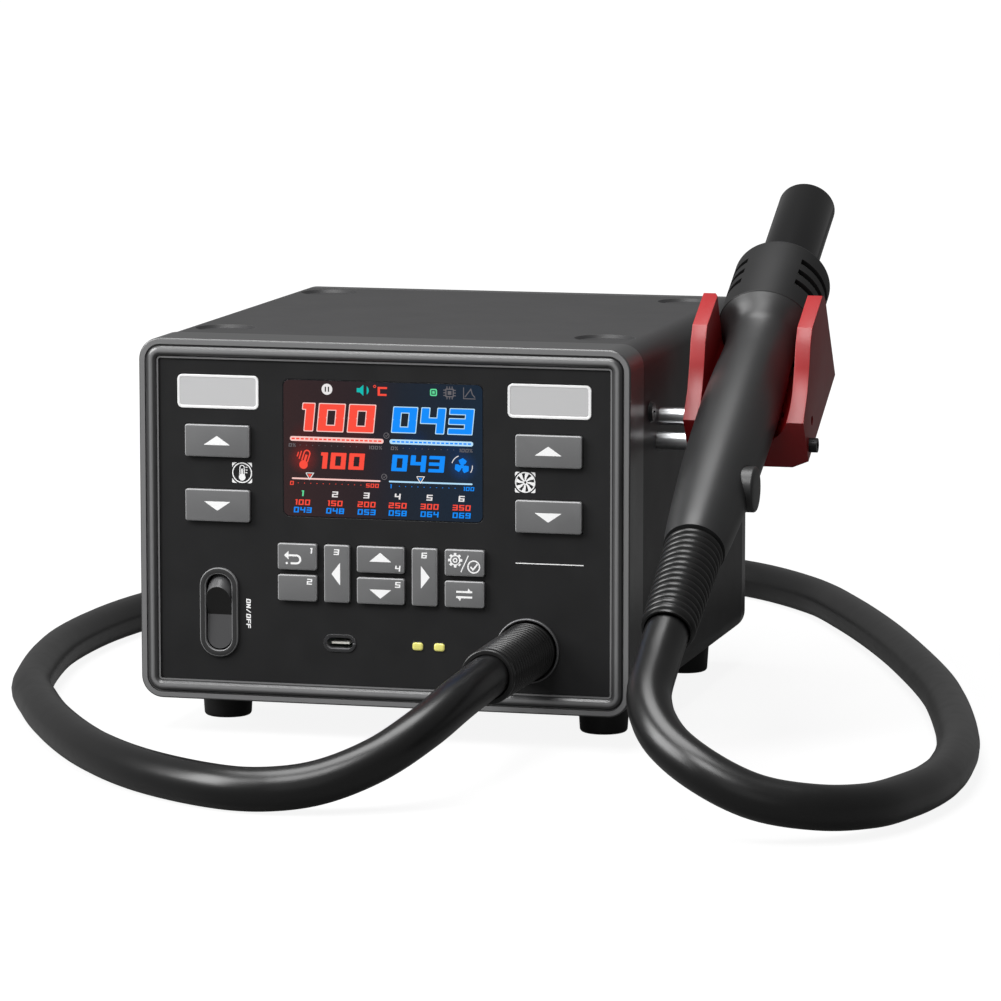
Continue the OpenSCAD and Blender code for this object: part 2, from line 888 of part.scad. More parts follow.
module hose_sleeve() {
  rib_pitch = (sleeve_len - sleeve_tip - 1.5) / sleeve_ribs;
  color(rubber_colour)
    translate([gland_x, panel_back, port_z])
      rotate([90, 0, 0])
        rotate_extrude()
          difference() {
            union() {
              polygon([
                [0, -3], [sleeve_r + 2, -3], [sleeve_r + 2, 0], [sleeve_r, 0],
                [sleeve_r, panel_t], [sleeve_r - rib_depth, panel_t],
                [sleeve_tip_r - rib_depth, panel_t + sleeve_len],
                [0, panel_t + sleeve_len]
              ]);
              for (i = [0 : sleeve_ribs - 1])
                translate([sleeve_r - rib_depth - (sleeve_r - sleeve_tip_r) * i / sleeve_ribs,
                           panel_t + 1.5 + i * rib_pitch])
                  circle(rib_depth, $fn = 20);
              translate([0, panel_t + sleeve_len - sleeve_tip])
                square([sleeve_tip_r, sleeve_tip]);
            }
            translate([-1, -4])
              square([sleeve_bore + 1, sleeve_len + panel_t + 8]);
            translate([0, panel_t + sleeve_len - seat_depth])
              square([hose_d / 2 + 0.3, seat_depth + 1]);
          }
}

// the hose, ring by ring along its centre line; the last ring faces along -Y
module hose() {
  line = smooth(concat([hose_start], route, [hose_finish]), hose_steps);
  n = len(line);
  aim0 = unit(handset_point([0, 0, boot_end_z - 1]) - handset_point([0, 0, boot_end_z]));
  aim = [for (i = [0 : n - 1])
    i == 0 ? aim0 : i == n - 1 ? [0, 1, 0] : unit(line[i + 1] - line[i - 1])];
  ring = [for (i = [0 : n - 1])
    let (side = unit(cross(aim[i], [0, 0, 1])), up = cross(side, aim[i]))
    [for (j = [0 : hose_sides - 1])
      let (a = 360 * (j + 0.5) / hose_sides)
      line[i] + hose_d / 2 * (cos(a) * side + sin(a) * up)]];
  color(rubber_colour)
    polyhedron(
      points = [for (r = ring) for (p = r) p],
      faces = concat(
        [[for (j = [0 : hose_sides - 1]) j]],
        [for (i = [0 : n - 2], j = [0 : hose_sides - 1])
          let (a = i * hose_sides, k = (j + 1) % hose_sides)
          [a + j, a + hose_sides + j, a + k]],
        [for (i = [0 : n - 2], j = [0 : hose_sides - 1])
          let (a = i * hose_sides, k = (j + 1) % hose_sides)
          [a + k, a + hose_sides + j, a + hose_sides + k]],
        [[for (j = [hose_sides - 1 : -1 : 0]) (n - 1) * hose_sides + j]]
      )
    );
}

// ---------------------------------------------------------------- blower and duct

scroll_r0 = 34;
scroll_grow = 13;
scroll_wall = 1.8;
tongue_a = 30;
outlet_len = 60;
blower_h = 2 * (port_z - tray_top);
outlet_x = (scroll_r0 * cos(tongue_a) + scroll_r0 + scroll_grow) / 2;
blower_x = gland_x - outlet_x;
blower_y = y_front + 114.5;
outlet_y = blower_y - outlet_len;
motor_r = 14;
motor_h = 15;
wheel_r = 30;
wheel_h = blower_h - 11;
blade_count = 24;

// the scroll from its tongue round to the outlet; the outer line starts a step later
function scroll_line(off) = concat(
  [for (a = [off > 0 ? 10 : 0 : 10 : 330])
    let (r = scroll_r0 + off + scroll_grow * a / 330)
    [r * cos(-tongue_a - a), r * sin(-tongue_a - a)]],
  [[scroll_r0 + scroll_grow + off, -outlet_len], [scroll_r0 * cos(tongue_a) - off, -outlet_len]]
);

module at_blower() {
  translate([blower_x, blower_y, tray_top])
    children();
}

module blower_volute() {
  color([0.2, 0.2, 0.22])
    at_blower()
      difference() {
        linear_extrude(blower_h - scroll_wall)
          polygon(scroll_line(scroll_wall));
        translate([0, 0, scroll_wall])
          linear_extrude(blower_h)
            polygon(scroll_line(0));
        translate([scroll_r0 * cos(tongue_a), -outlet_len - 1, scroll_wall])
          cube([scroll_r0 + scroll_grow - scroll_r0 * cos(tongue_a), 12, blower_h]);
      }
}

module blower_cover() {
  color([0.24, 0.24, 0.26])
    at_blower()
      translate([0, 0, blower_h - scroll_wall])
        difference() {
          linear_extrude(scroll_wall)
            polygon(scroll_line(scroll_wall));
          translate([0, 0, -1])
            cylinder(h = scroll_wall + 2, r = 20);
        }
}

module blower_motor() {
  color(steel_colour)
    at_blower()
      translate([0, 0, scroll_wall]) {
        cylinder(h = motor_h, r = motor_r);
        cylinder(h = motor_h + 7, r = 1.5);
      }
}

module blower_impeller() {
  z0 = scroll_wall + 1.5;
  cup_r = motor_r + 2.5;
  cup_top = scroll_wall + motor_h + 0.5;
  color([0.75, 0.75, 0.72])
    at_blower()
      difference() {
        union() {
          translate([0, 0, z0])
            cylinder(h = cup_top + 2 - z0, r = cup_r);
          translate([0, 0, z0])
            cylinder(h = 1.4, r = wheel_r);
          translate([0, 0, cup_top])
            cylinder(h = 6, r = 4);
          for (i = [0 : blade_count - 1])
            rotate([0, 0, 360 * i / blade_count])
              translate([cup_r + 7, 0, z0])
                rotate([0, 0, 28])
                  translate([-7, -0.5, 0])
                    cube([13, 1, wheel_h - z0]);
        }
        translate([0, 0, z0 - 1])
          cylinder(h = cup_top - z0 + 1, r = motor_r + 0.5);
        translate([0, 0, z0])
          cylinder(h = blower_h, r = 1.5 + run_fit);
      }
}

module air_duct() {
  y1 = outlet_y;
  y0 = y1 - 26;
  w = scroll_r0 + scroll_grow - scroll_r0 * cos(tongue_a) + 2 * scroll_wall;
  spigot_r = sleeve_bore - 0.2;
  color([0.24, 0.24, 0.26])
    difference() {
      union() {
        along_y(y0, y1)
          translate([gland_x, port_z])
            square([w, blower_h], center = true);
        y_rod(gland_x, panel_back + 2, y0 + eps, port_z, spigot_r);
      }
      along_y(y0 + scroll_wall, y1 + 1)
        translate([gland_x, port_z])
          square([w - 2 * scroll_wall, blower_h - 2 * scroll_wall], center = true);
      y_rod(gland_x, panel_back - 2, y0 + 4, port_z, spigot_r - 1.2);
    }
}

// ---------------------------------------------------------------- power parts

side_room = 2;        // free space between the tray's side and what stands on it
tray_inside = tray_w / 2 - tray_t;
core_w = 62;
core_x = -tray_inside + side_room + core_w / 2;
core_y = y_rear - 52;
core_d = 34;
core_h = 52;
leg = 10;
coil_window = 11;
centre_limb = 25;
coil_gap = 0.2;

module transformer_core() {
  color([0.35, 0.36, 0.38])
    translate([core_x, core_y, tray_top])
      difference() {
        translate([-core_w / 2, -core_d / 2, 0])
          cube([core_w, core_d, core_h]);
        for (s = [-1, 1])
          translate([s * (centre_limb + coil_window) / 2 - coil_window / 2, -core_d, leg])
            cube([coil_window, 2 * core_d, core_h - 2 * leg]);
      }
}

module transformer_winding() {
  color([0.75, 0.5, 0.2])
    translate([core_x, core_y, tray_top + leg + coil_gap])
      linear_extrude(core_h - 2 * leg - 2 * coil_gap)
        difference() {
          rrect(centre_limb + 2 * coil_window - 2 * coil_gap, core_d + 18, 4);
          square([centre_limb + 2 * coil_gap, core_d + 2 * coil_gap], center = true);
        }
}

pcb_w = 48;
pcb_d = 88;
pcb_x = -tray_inside + side_room + pcb_w / 2;
pcb_y = y_front + 84;
pcb_post = 6;

module power_board() {
  color(board_colour)
    translate([pcb_x, pcb_y, tray_top]) {
      for (sx = [-1, 1], sy = [-1, 1])
        translate([sx * (pcb_w / 2 - 5), sy * (pcb_d / 2 - 5), 0])
          cylinder(h = pcb_post + eps, r = 3);
      translate([-pcb_w / 2, -pcb_d / 2, pcb_post])
        cube([pcb_w, pcb_d, board_t]);
      for (p = [[-11, -26, 9, 26], [7, -26, 6.5, 22], [17, -14, 4, 14]])
        translate([p[0], p[1], pcb_post + board_t - eps])
          cylinder(h = p[3], r = p[2]);
      translate([-20, 2, pcb_post + board_t - eps])
        cube([18, 22, 16]);
      for (i = [0 : 4])
        translate([3 + 4 * i, 2, pcb_post + board_t - eps])
          cube([1.6, 26, 28]);
      translate([3, 13, pcb_post + board_t - eps])
        cube([17.6, 3, 28]);
    }
}

inlet_depth = 20;
inlet_wall = 1.8;

module power_inlet() {
  color([0.07, 0.07, 0.07])
    translate([inlet_x, 0, inlet_z])
      difference() {
        union() {
          along_y(y_rear - 1, y_rear + 0)
            rrect(inlet_w + 4, inlet_h + 4, 3);
          along_y(y_rear - inlet_depth, y_rear - 1 + eps)
            rrect(inlet_w, inlet_h, 2);
        }
        along_y(y_rear - inlet_depth + inlet_wall, y_rear + 1)
          rrect(inlet_w - 2 * inlet_wall, inlet_h - 2 * inlet_wall, 2);
        for (p = pin_at)
          along_y(y_rear - inlet_depth - 1, y_rear - inlet_depth + inlet_wall + 1)
            translate(p)
              square([2.2, 4.2], center = true);
      }
}

pin_at = [[-7, -2], [7, -2], [0, 2.4]];

module inlet_pins() {
  color(steel_colour)
    for (p = pin_at)
      translate([inlet_x, 0, inlet_z])
        along_y(y_rear - inlet_depth - 5, y_rear - 6)
          translate(p)
            square([2, 4], center = true);
}

// ---------------------------------------------------------------- holder

// the holder's side outline as distance along the handset and height above its axis
holder_crest = [
  [4.5, 5.5], [6.5, 1.7], [9, 0], [29.5, 0], [33, 0.9], [36.5, 3.4], [42.5, 10.5], [49.5, 16.8]
];
holder_nose = [2.5, 23];
holder_outline = concat(
  [[holder_rear, -holder_drop]],
  [for (p = holder_crest) [holder_rear - p[0], holder_rise - p[1]]],
  [[holder_front - holder_nose[0], holder_rise - holder_nose[1]], [holder_front, -holder_drop]]
);
magnet_z = -22;

// radius that the handle and collar leave free, from the holder's front to its rear
seat_gap = 0.3;
seat_form = [[-12, 13.9], [-8, 14.6], [-3, 17.4], [0, collar_r + seat_gap], [12, collar_r + seat_gap]];

module holder_slot() {
  // the open slot with a round floor
  translate([holder_x - handset_x, -slot_half + slot_floor, holder_front - 10])
    cylinder(h = holder_rear - holder_front + 20, r = slot_half);
  translate([holder_x - handset_x - slot_half, -holder_rise - 10, holder_front - 10])
    cube([slot_w, holder_rise + 10 + slot_floor - slot_half, holder_rear - holder_front + 20]);
  // the flare that seats the swelling behind the collar
  rotate_extrude()
    polygon(concat([[0, -12]], [for (p = seat_form) [p[1], p[0]]], [[0, 12]]));
  rotate([90, 0, 0])
    linear_extrude(holder_rise + 10)
      polygon(concat([for (p = seat_form) [p[1], p[0]]],
                     [for (i = [len(seat_form) - 1 : -1 : 0]) [-seat_form[i][1], seat_form[i][0]]]));
}

module holder() {
  color([0.75, 0.1, 0.1])
    difference() {
      on_handset()
        difference() {
          intersection() {
            along_x(holder_x - handset_x - holder_w / 2, holder_x - handset_x + holder_w / 2)
              polygon([for (p = holder_outline) [-p[1], p[0]]]);
            translate([holder_x - handset_x, 0, holder_front - 10])
              linear_extrude(holder_rear - holder_front + 20)
                polygon([
                  [-holder_w / 2, -holder_rise - 1], [holder_w / 2, -holder_rise - 1],
                  [holder_w / 2, holder_drop - 3.2], [holder_w / 2 - 6.4, holder_drop],
                  [-holder_w / 2 + 6.4, holder_drop], [-holder_w / 2, holder_drop - 3.2]
                ]);
          }
          holder_slot();
          translate([holder_x - handset_x, holder_drop + 1, magnet_z])
            rotate([90, 0, 0])
              cylinder(h = 4, r = 4 + fit);
        }
      standoff_bore(standoff_at[0], case_w / 2, holder_x + holder_w, hole_r + 0.1);
      standoff_bore(standoff_at[0], case_w / 2 + standoff_len + 4.5, holder_x, 2.9);
      standoff_bore(standoff_at[0], holder_x, holder_x + holder_w, 1.9);
      standoff_bore(standoff_at[1], case_w / 2, holder_x + holder_w, hole_r + 0.1);
    }
}

module holder_magnet() {
  color(steel_colour)
    on_handset()
      translate([holder_x - handset_x, holder_drop - 1, magnet_z])
        rotate([90, 0, 0])
          cylinder(h = 2, r = 4);
}

module holder_standoffs() {
  color([0.8, 0.81, 0.82])
    for (p = standoff_at)
      difference() {
        standoff_bore(p, case_w / 2, case_w / 2 + standoff_len, standoff_r);
        standoff_bore(p, case_w / 2 - 1, case_w / 2 + standoff_len + 1, hole_r);
      }
}

// a cap screw along X whose head starts at x
module cap_screw(p, x, len) {
  difference() {
    union() {
      standoff_bore(p, x, x + 3, 2.75);
      standoff_bore(p, x - len, x + eps, screw_r);
    }
    c = handset_point([0, -p[1], p[0]]);
    translate([x + 1.2, c[1], c[2]])
      rotate([0, 90, 0])
        cylinder(h = 3, r = 1.44, $fn = 6);
  }
}

module holder_screws() {
  color([0.1, 0.1, 0.1]) {
    cap_screw(standoff_at[0], case_w / 2 + standoff_len + 4.5, 4.5 + standoff_len - 6);
    cap_screw(standoff_at[1], holder_x + holder_w / 2, holder_w + standoff_len - 6);
  }
}

module standoff_screws() {
  x = tray_w / 2 - tray_t;
  color(steel_colour)
    for (p = standoff_at) {
      standoff_bore(p, x - 2, x, 2.8);
      standoff_bore(p, x - eps, case_w / 2 + 4.5, screw_r);
    }
}

// ---------------------------------------------------------------- handset

collar_front_t = 2;
tube_neck = 0.2;
tube_start = 0.2;
tube_back = collar_len - collar_front_t - 1.2;

module nozzle_tube() {
  color([0.2, 0.2, 0.21])
    on_handset()
      translate([0, 0, tube_back])
        difference() {
          union() {
            cylinder(h = collar_front_t + 1.2 + tube_len, r = tube_r - tube_neck);
            translate([0, 0, collar_front_t + 1.2 + tube_start])
              cylinder(h = tube_len - tube_start, r = tube_r);
            cylinder(h = 1.2, r = collar_r - collar_wall - fit);
          }
          translate([0, 0, -1])
            cylinder(h = collar_len + tube_len, r = tube_r - tube_wall);
        }
}

slot_at = [12, 19, 26];
slot_gap = 1.4;

module heater_collar() {
  color([0.22, 0.22, 0.23])
    on_handset()
      difference() {
        rotate_extrude()
          polygon(concat(
            [[collar_r - collar_wall, 0], [collar_r, 0]],
            [for (a = [0 : 15 : 90])
              [collar_r - 1.6 + 1.6 * cos(a), collar_len - 1.6 + 1.6 * sin(a)]],
            [[tube_r + 0.25, collar_len], [tube_r + 0.25, collar_len - collar_front_t],
             [collar_r - collar_wall, collar_len - collar_front_t]]
          ));
        for (z = slot_at, start = [-56, 170])
          translate([0, 0, z - slot_gap / 2])
            rotate([0, 0, start])
              rotate_extrude(angle = 66)
                translate([collar_r - collar_wall - 1, 0])
                  square([collar_wall + 2, slot_gap]);
      }
}

module heating_core() {
  core_r = tube_r - tube_wall - 0.15;
  z0 = tube_back - 5;
  z1 = collar_len + tube_len - 12;
  color([0.88, 0.86, 0.8])
    on_handset()
      difference() {
        union() {
          translate([0, 0, z0])
            cylinder(h = z1 - z0, r = core_r);
          translate([0, 0, z0])
            cylinder(h = 5, r = collar_r - collar_wall - 1);
        }
        translate([0, 0, z0 - 1])
          cylinder(h = z1 - z0 + 2, r = 2.2);
        for (i = [0 : 7])
          rotate([0, 0, 45 * i])
            translate([6.2, 0, z0 - 1])
              cylinder(h = z1 - z0 + 2, r = 1.7, $fn = 24);
      }
}

module handle_turned(inset) {
  line = smooth(handle_form, 3);
  rotate_extrude()
    polygon(concat(
      [[0, 0]],
      [for (p = line) [p[1] - inset, -p[0]]],
      [[0, -handle_len]]
    ));
}

module handle_shell() {
  color([0.22, 0.22, 0.23])
    on_handset()
      difference() {
        union() {
          difference() {
            handle_turned(0);
            handle_turned(handle_wall);
          }
          intersection() {
            handle_turned(0.5);
            translate([0, 0, button_z])
              x_rod(button_boss_x, button_face, 0, 0, button_r + 1.8);
          }
        }
        translate([0, 0, button_z])
          x_rod(button_boss_x - 1, button_face + 4, 0, 0, button_r + 0.2);
      }
}

module handle_button() {
  crown = 0.8;
  color([0.25, 0.25, 0.26])
    on_handset()
      translate([0, 0, button_z])
        rotate([0, 90, 0])
          rotate_extrude()
            polygon([
              [0, button_boss_x - 1.2], [button_r + 1, button_boss_x - 1.2],
              [button_r + 1, button_boss_x - fit], [button_r, button_boss_x - fit],
              [button_r, button_face - crown], [button_r - 0.3, button_face - 0.3],
              [button_r - crown, button_face], [0, button_face]
            ]);
}

module handle_boot() {
  pitch = (boot_len - 2) / boot_ribs;
  rib_r = 1.1;
  color(rubber_colour)
    on_handset()
      rotate_extrude()
        difference() {
          union() {
            polygon([
              [0, boot_end_z], [boot_end_r - rib_r, boot_end_z], [boot_r - rib_r, -handle_len],
              [8.9, -handle_len], [8.9, -handle_len + 9], [0, -handle_len + 9]
            ]);
            for (i = [0 : boot_ribs - 1])
              translate([boot_r - rib_r - (boot_r - boot_end_r) * i / boot_ribs,
                         -handle_len - pitch * (i + 0.5) - 0.6])
                circle(rib_r, $fn = 20);
          }
          translate([-1, boot_end_z - 1])
            square([7, boot_len + 12]);
          translate([-1, boot_end_z - 1])
            square([hose_d / 2 + 1.3, 11]);
        }
}

handle_board_w = 21.6;
handle_board_len = 100;
handle_board_past = 21;

module handle_board() {
  color(board_colour)
    on_handset() {
      translate([0, -handle_board_w / 2, button_z - handle_board_past])
        cube([board_t, handle_board_w, handle_board_len]);
      translate([board_t - eps, -switch_w / 2, button_z - switch_w / 2])
        cube([2.2, switch_w, switch_w]);
    }
}

case_shell();
front_frame();
front_panel();
rear_frame();
rear_panel();
chassis_tray();
rear_screws();
side_screws();
feet();
foot_screws();
display_window();
display_module();
name_plate(-1);  // plate_left
name_plate(1);  // plate_right
key_cap(KEYS[0]);  // temp_up_key
key_cap(KEYS[1]);  // temp_down_key
key_cap(KEYS[2]);  // air_up_key
key_cap(KEYS[3]);  // air_down_key
key_cap(KEYS[4]);  // channel_key_upper
key_cap(KEYS[5]);  // channel_key_lower
key_cap(KEYS[6]);  // left_key
key_cap(KEYS[7]);  // up_key
key_cap(KEYS[8]);  // down_key
key_cap(KEYS[9]);  // right_key
key_cap(KEYS[10]);  // set_key
key_cap(KEYS[11]);  // swap_key
key_switches();
control_board();
board_screws();
rocker_bezel();
rocker_switch();
rocker_body();
usb_shell();
usb_tongue();
indicator_lenses();
gland_ring();
hose_sleeve();
hose();
air_duct();
blower_volute();
blower_cover();
blower_impeller();
blower_motor();
transformer_core();
transformer_winding();
power_board();
power_inlet();
inlet_pins();
holder();
holder_magnet();
holder_standoffs();
holder_screws();
standoff_screws();
nozzle_tube();
heater_collar();
heating_core();
handle_shell();
handle_button();
handle_boot();
handle_board();
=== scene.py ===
"""Looks of a bench hot air station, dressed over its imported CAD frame."""

import json
import logging
import math
from contextlib import contextmanager
from dataclasses import dataclass, field
from enum import Enum
from functools import cache
from typing import Callable, Iterator, Sequence

import bpy
from mathutils import Matrix, Vector

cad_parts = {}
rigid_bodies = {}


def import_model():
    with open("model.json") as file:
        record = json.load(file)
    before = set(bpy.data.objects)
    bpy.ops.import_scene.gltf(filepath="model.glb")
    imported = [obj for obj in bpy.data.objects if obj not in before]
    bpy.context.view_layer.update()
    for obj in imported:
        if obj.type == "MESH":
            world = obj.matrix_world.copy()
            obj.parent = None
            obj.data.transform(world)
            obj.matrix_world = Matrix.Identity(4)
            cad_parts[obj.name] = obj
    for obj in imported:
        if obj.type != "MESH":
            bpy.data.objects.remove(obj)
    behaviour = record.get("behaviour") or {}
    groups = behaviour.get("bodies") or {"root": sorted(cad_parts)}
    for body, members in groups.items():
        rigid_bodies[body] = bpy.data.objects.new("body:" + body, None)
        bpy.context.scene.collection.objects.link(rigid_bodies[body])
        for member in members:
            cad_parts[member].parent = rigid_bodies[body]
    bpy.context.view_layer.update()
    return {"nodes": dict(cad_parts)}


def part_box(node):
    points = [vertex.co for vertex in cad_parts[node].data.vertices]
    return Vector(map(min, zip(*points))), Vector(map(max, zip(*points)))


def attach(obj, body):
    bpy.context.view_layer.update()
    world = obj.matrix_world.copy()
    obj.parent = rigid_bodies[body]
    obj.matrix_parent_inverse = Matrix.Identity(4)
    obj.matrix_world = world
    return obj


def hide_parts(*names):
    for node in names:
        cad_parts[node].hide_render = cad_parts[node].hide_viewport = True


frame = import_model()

LOG = logging.getLogger("hot_air_station")
MM = 0.001
BUMP_DEPTH = 0.1 * MM
# faces that look to the front past this get the painted highlight of a crest
PAINTED_HIGHLIGHT_FROM = -0.9
COAT_ROUGHNESS = 0.12
ROUGHNESS_SPREAD = 0.12
DUST_COLOUR = (0.32, 0.31, 0.3, 1)
DOT_PITCH = 0.12 * MM
DOT_SHARE = 0.86
# stands for a radius of 0 on the lathe, in millimetres
NEAR_AXIS = 0.02

Piece = bpy.types.Object
Face = bpy.types.MeshPolygon
Material = bpy.types.Material
Tree = bpy.types.NodeTree
Node = bpy.types.Node
Socket = bpy.types.NodeSocket
Flat = tuple[float, float]
Spot = tuple[float, float, float]
Colour = tuple[float, float, float]

# turns a drawing that faces up into one that faces the front, and one that faces +X
FRONT = Matrix.Rotation(math.radians(90), 4, "X")
SIDE = Matrix.Rotation(math.radians(90), 4, "Y")


def shift(x: float, y: float, z: float) -> Matrix:
    """Gives a move by a distance in millimetres."""
    return Matrix.Translation(Vector((x, y, z)) * MM)


@dataclass(frozen=True)
class Front:
    """The front of a CAD node: its middle, its width and height and the node's depth, in mm."""

    x: float
    y: float
    z: float
    w: float
    h: float
    depth: float

    def at(self, rise: float = 0) -> Matrix:
        """Gives the place of a drawing that rises over the front by so much."""
        return shift(self.x, self.y, self.z) @ FRONT @ shift(0, 0, rise)


def front_of(node: str) -> Front:
    """Measures a CAD node as it is seen from the front.

    Args:
        node: Its name.

    Returns:
        Its front.
    """
    low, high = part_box(node)
    middle = (Vector(low) + Vector(high)) / 2 / MM
    w, depth, h = ((b - a) / MM for a, b in zip(low, high))
    return Front(middle.x, low[1] / MM, middle.z, w, h, depth)


# ---------------------------------------------------------------- bench tools


def clear_bench() -> None:
    """Leaves object mode with nothing selected."""
    if bpy.context.object is not None and bpy.context.object.mode != "OBJECT":
        bpy.ops.object.mode_set(mode="OBJECT")
    bpy.ops.object.select_all(action="DESELECT")


def take(obj: Piece) -> None:
    """Makes one object the only selected and active one.

    Args:
        obj: The object.
    """
    clear_bench()
    obj.select_set(True)
    bpy.context.view_layer.objects.active = obj


@contextmanager
def editing(obj: Piece) -> Iterator[None]:
    """Opens a mesh in edit mode with all of it selected, and closes it again.

    Args:
        obj: The mesh object.

    Yields:
        Nothing. The mesh is open meanwhile.
    """
    take(obj)
    bpy.ops.object.mode_set(mode="EDIT")
    bpy.ops.mesh.select_all(action="SELECT")
    yield
    bpy.ops.object.mode_set(mode="OBJECT")


def named(name: str) -> Piece:
    """Names the object that an operator has just added.

    Args:
        name: The name, which its mesh gets too.

    Returns:
        The object.
    """
    obj = bpy.context.object
    obj.name = name
    obj.data.name = name
    return obj


def pick_faces(obj: Piece, wanted: Callable[[Face], bool]) -> None:
    """Opens a mesh in edit mode with only the wanted faces selected.

    Args:
        obj: The mesh object.
        wanted: Says of a face whether it is selected.
    """
    take(obj)
    bpy.ops.object.mode_set(mode="EDIT")
    bpy.ops.mesh.select_mode(type="FACE")
    bpy.ops.mesh.select_all(action="DESELECT")
    bpy.ops.object.mode_set(mode="OBJECT")
    for face in obj.data.polygons:
        face.select = wanted(face)
    bpy.ops.object.mode_set(mode="EDIT")


def finish_edit() -> None:
    """Goes back to object mode, with vertices as the next selection."""
    bpy.ops.mesh.select_mode(type="VERT")
    bpy.ops.object.mode_set(mode="OBJECT")


def settle(obj: Piece, place: Matrix) -> Piece:
    """Moves a mesh to its place and leaves the object at the origin.

    Args:
        obj: The mesh object, shaped at the origin.
        place: Where it goes, in metres.

    Returns:
        The same object.
    """
    take(obj)
    obj.matrix_world = place
    bpy.ops.object.transform_apply(location=True, rotation=True, scale=True)
    return obj


def soften(obj: Piece, angle: float = 35) -> Piece:
    """Shades a mesh smooth up to an angle.

    Args:
        obj: The mesh object.
        angle: Edges sharper than this many degrees stay sharp.

    Returns:
        The same object.
    """
    take(obj)
    bpy.ops.object.shade_smooth_by_angle(angle=math.radians(angle))
    return obj


def apply_modifier(obj: Piece, kind: str, **settings: object) -> None:
    """Adds a modifier to an object and applies it.

    Args:
        obj: The mesh object.
        kind: The modifier's type.
        **settings: Values for the modifier.
    """
    take(obj)
    modifier = obj.modifiers.new(kind.lower(), kind)
    for key, value in settings.items():
        setattr(modifier, key, value)
    bpy.ops.object.modifier_apply(modifier=modifier.name)


class Cut(Enum):
    """What one closed mesh does to another."""

    OUT = "DIFFERENCE"
    COMMON = "INTERSECT"
    ADD = "UNION"


def carve(obj: Piece, cutter: Piece, cut: Cut = Cut.OUT) -> None:
    """Works one closed mesh with another and throws the other away."""
    apply_modifier(obj, "BOOLEAN", object=cutter, operation=cut.value, solver="EXACT")
    bpy.data.objects.remove(cutter)


def round_edges(obj: Piece, width: float, segments: int = 3, angle: float = 40) -> None:
    """Rounds the sharp edges of a mesh.

    Args:
        obj: The mesh object.
        width: Size of the rounding, in millimetres.
        segments: Steps across it.
        angle: Edges sharper than this many degrees are rounded.
    """
    apply_modifier(obj, "BEVEL", width=width * MM, segments=segments, limit_method="ANGLE",
                   angle_limit=math.radians(angle), use_clamp_overlap=True)


def joined(name: str, parts: Sequence[Piece]) -> Piece:
    """Joins several meshes into one object.

    Args:
        name: The new name.
        parts: The meshes.

    Returns:
        The joined object.
    """
    clear_bench()
    for part in parts:
        part.select_set(True)
    bpy.context.view_layer.objects.active = parts[0]
    if len(parts) > 1:
        bpy.ops.object.join()
    return named(name)


def copied(obj: Piece, place: Matrix) -> Piece:
    """Copies an object with a mesh of its own.

    Args:
        obj: The mesh object.
        place: Where its copy goes.

    Returns:
        The copy.
    """
    twin = obj.copy()
    twin.data = obj.data.copy()
    bpy.context.collection.objects.link(twin)
    twin.data.transform(place)
    return twin


def linked(name: str, data: bpy.types.ID) -> Piece:
    """Puts new data into the scene.

    Args:
        name: The object's name.
        data: A curve, a camera or a lamp.

    Returns:
        The new object.
    """
    obj = bpy.data.objects.new(name, data)
    bpy.context.collection.objects.link(obj)
    return obj


def pull(distance: float) -> None:
    """Extrudes what is selected upwards, in edit mode, by a distance in millimetres."""
    bpy.ops.mesh.extrude_region_move(TRANSFORM_OT_translate={"value": (0, 0, distance * MM)})


def seal() -> None:
    """Fills the open ends of the mesh in edit mode and turns its faces outwards."""
    bpy.ops.mesh.select_all(action="SELECT")
    bpy.ops.mesh.fill_holes(sides=0)
    bpy.ops.mesh.select_all(action="SELECT")
    bpy.ops.mesh.normals_make_consistent(inside=False)


def thicken(obj: Piece, depth: float) -> Piece:
    """Pulls a flat drawing up into a closed block.

    Args:
        obj: The drawing.
        depth: Height of the block, in millimetres.

    Returns:
        The same object.
    """
    with editing(obj):
        pull(depth)
        seal()
    return obj


def blank(name: str, w: float, h: float, corner: float, segments: int) -> Piece:
    """Cuts a flat plate with rounded corners round the origin.

    Args:
        name: Its name.
        w: Width, in millimetres.
        h: Height.
        corner: Size of its corners.
        segments: Steps round each corner.

    Returns:
        The new object.
    """
    clear_bench()
    bpy.ops.mesh.primitive_plane_add(size=MM)
    obj = named(name)
    with editing(obj):
        bpy.ops.transform.resize(value=(w, h, 1), center_override=(0, 0, 0))
        bpy.ops.mesh.bevel(offset=corner * MM, segments=segments, affect="VERTICES")
    return obj


def turned(name: str, profile: Sequence[Flat], sides: int = 96) -> Piece:
    """Turns a profile about Z, ring by ring, as on a lathe.

    Args:
        name: The object's name.
        profile: Radius and height of each ring, in millimetres. Where the last is the first
            again the section is a closed one, otherwise both ends are filled.
        sides: Steps round the axis.

    Returns:
        The new object.
    """
    (radius, height), rest = profile[0], profile[1:]
    clear_bench()
    bpy.ops.mesh.primitive_circle_add(vertices=sides, radius=radius * MM,
                                      location=(0, 0, height * MM))
    obj = named(name)
    bpy.ops.object.transform_apply()
    with editing(obj):
        for r, z in rest:
            pull(z - height)
            if abs(r - radius) > 1e-9:
                k = r / radius
                bpy.ops.transform.resize(value=(k, k, 1), center_override=(0, 0, z * MM))
            radius, height = r, z
        bpy.ops.mesh.select_all(action="SELECT")
        bpy.ops.mesh.remove_doubles(threshold=1e-7)
        seal()
    return soften(obj)


def arc(x: float, y: float, r: float, a0: float, a1: float, steps: int = 6) -> list[Flat]:
    """Lists points on an arc, with its angles in degrees."""
    angles = [math.radians(a0 + (a1 - a0) * i / steps) for i in range(steps + 1)]
    return [(x + r * math.cos(a), y + r * math.sin(a)) for a in angles]


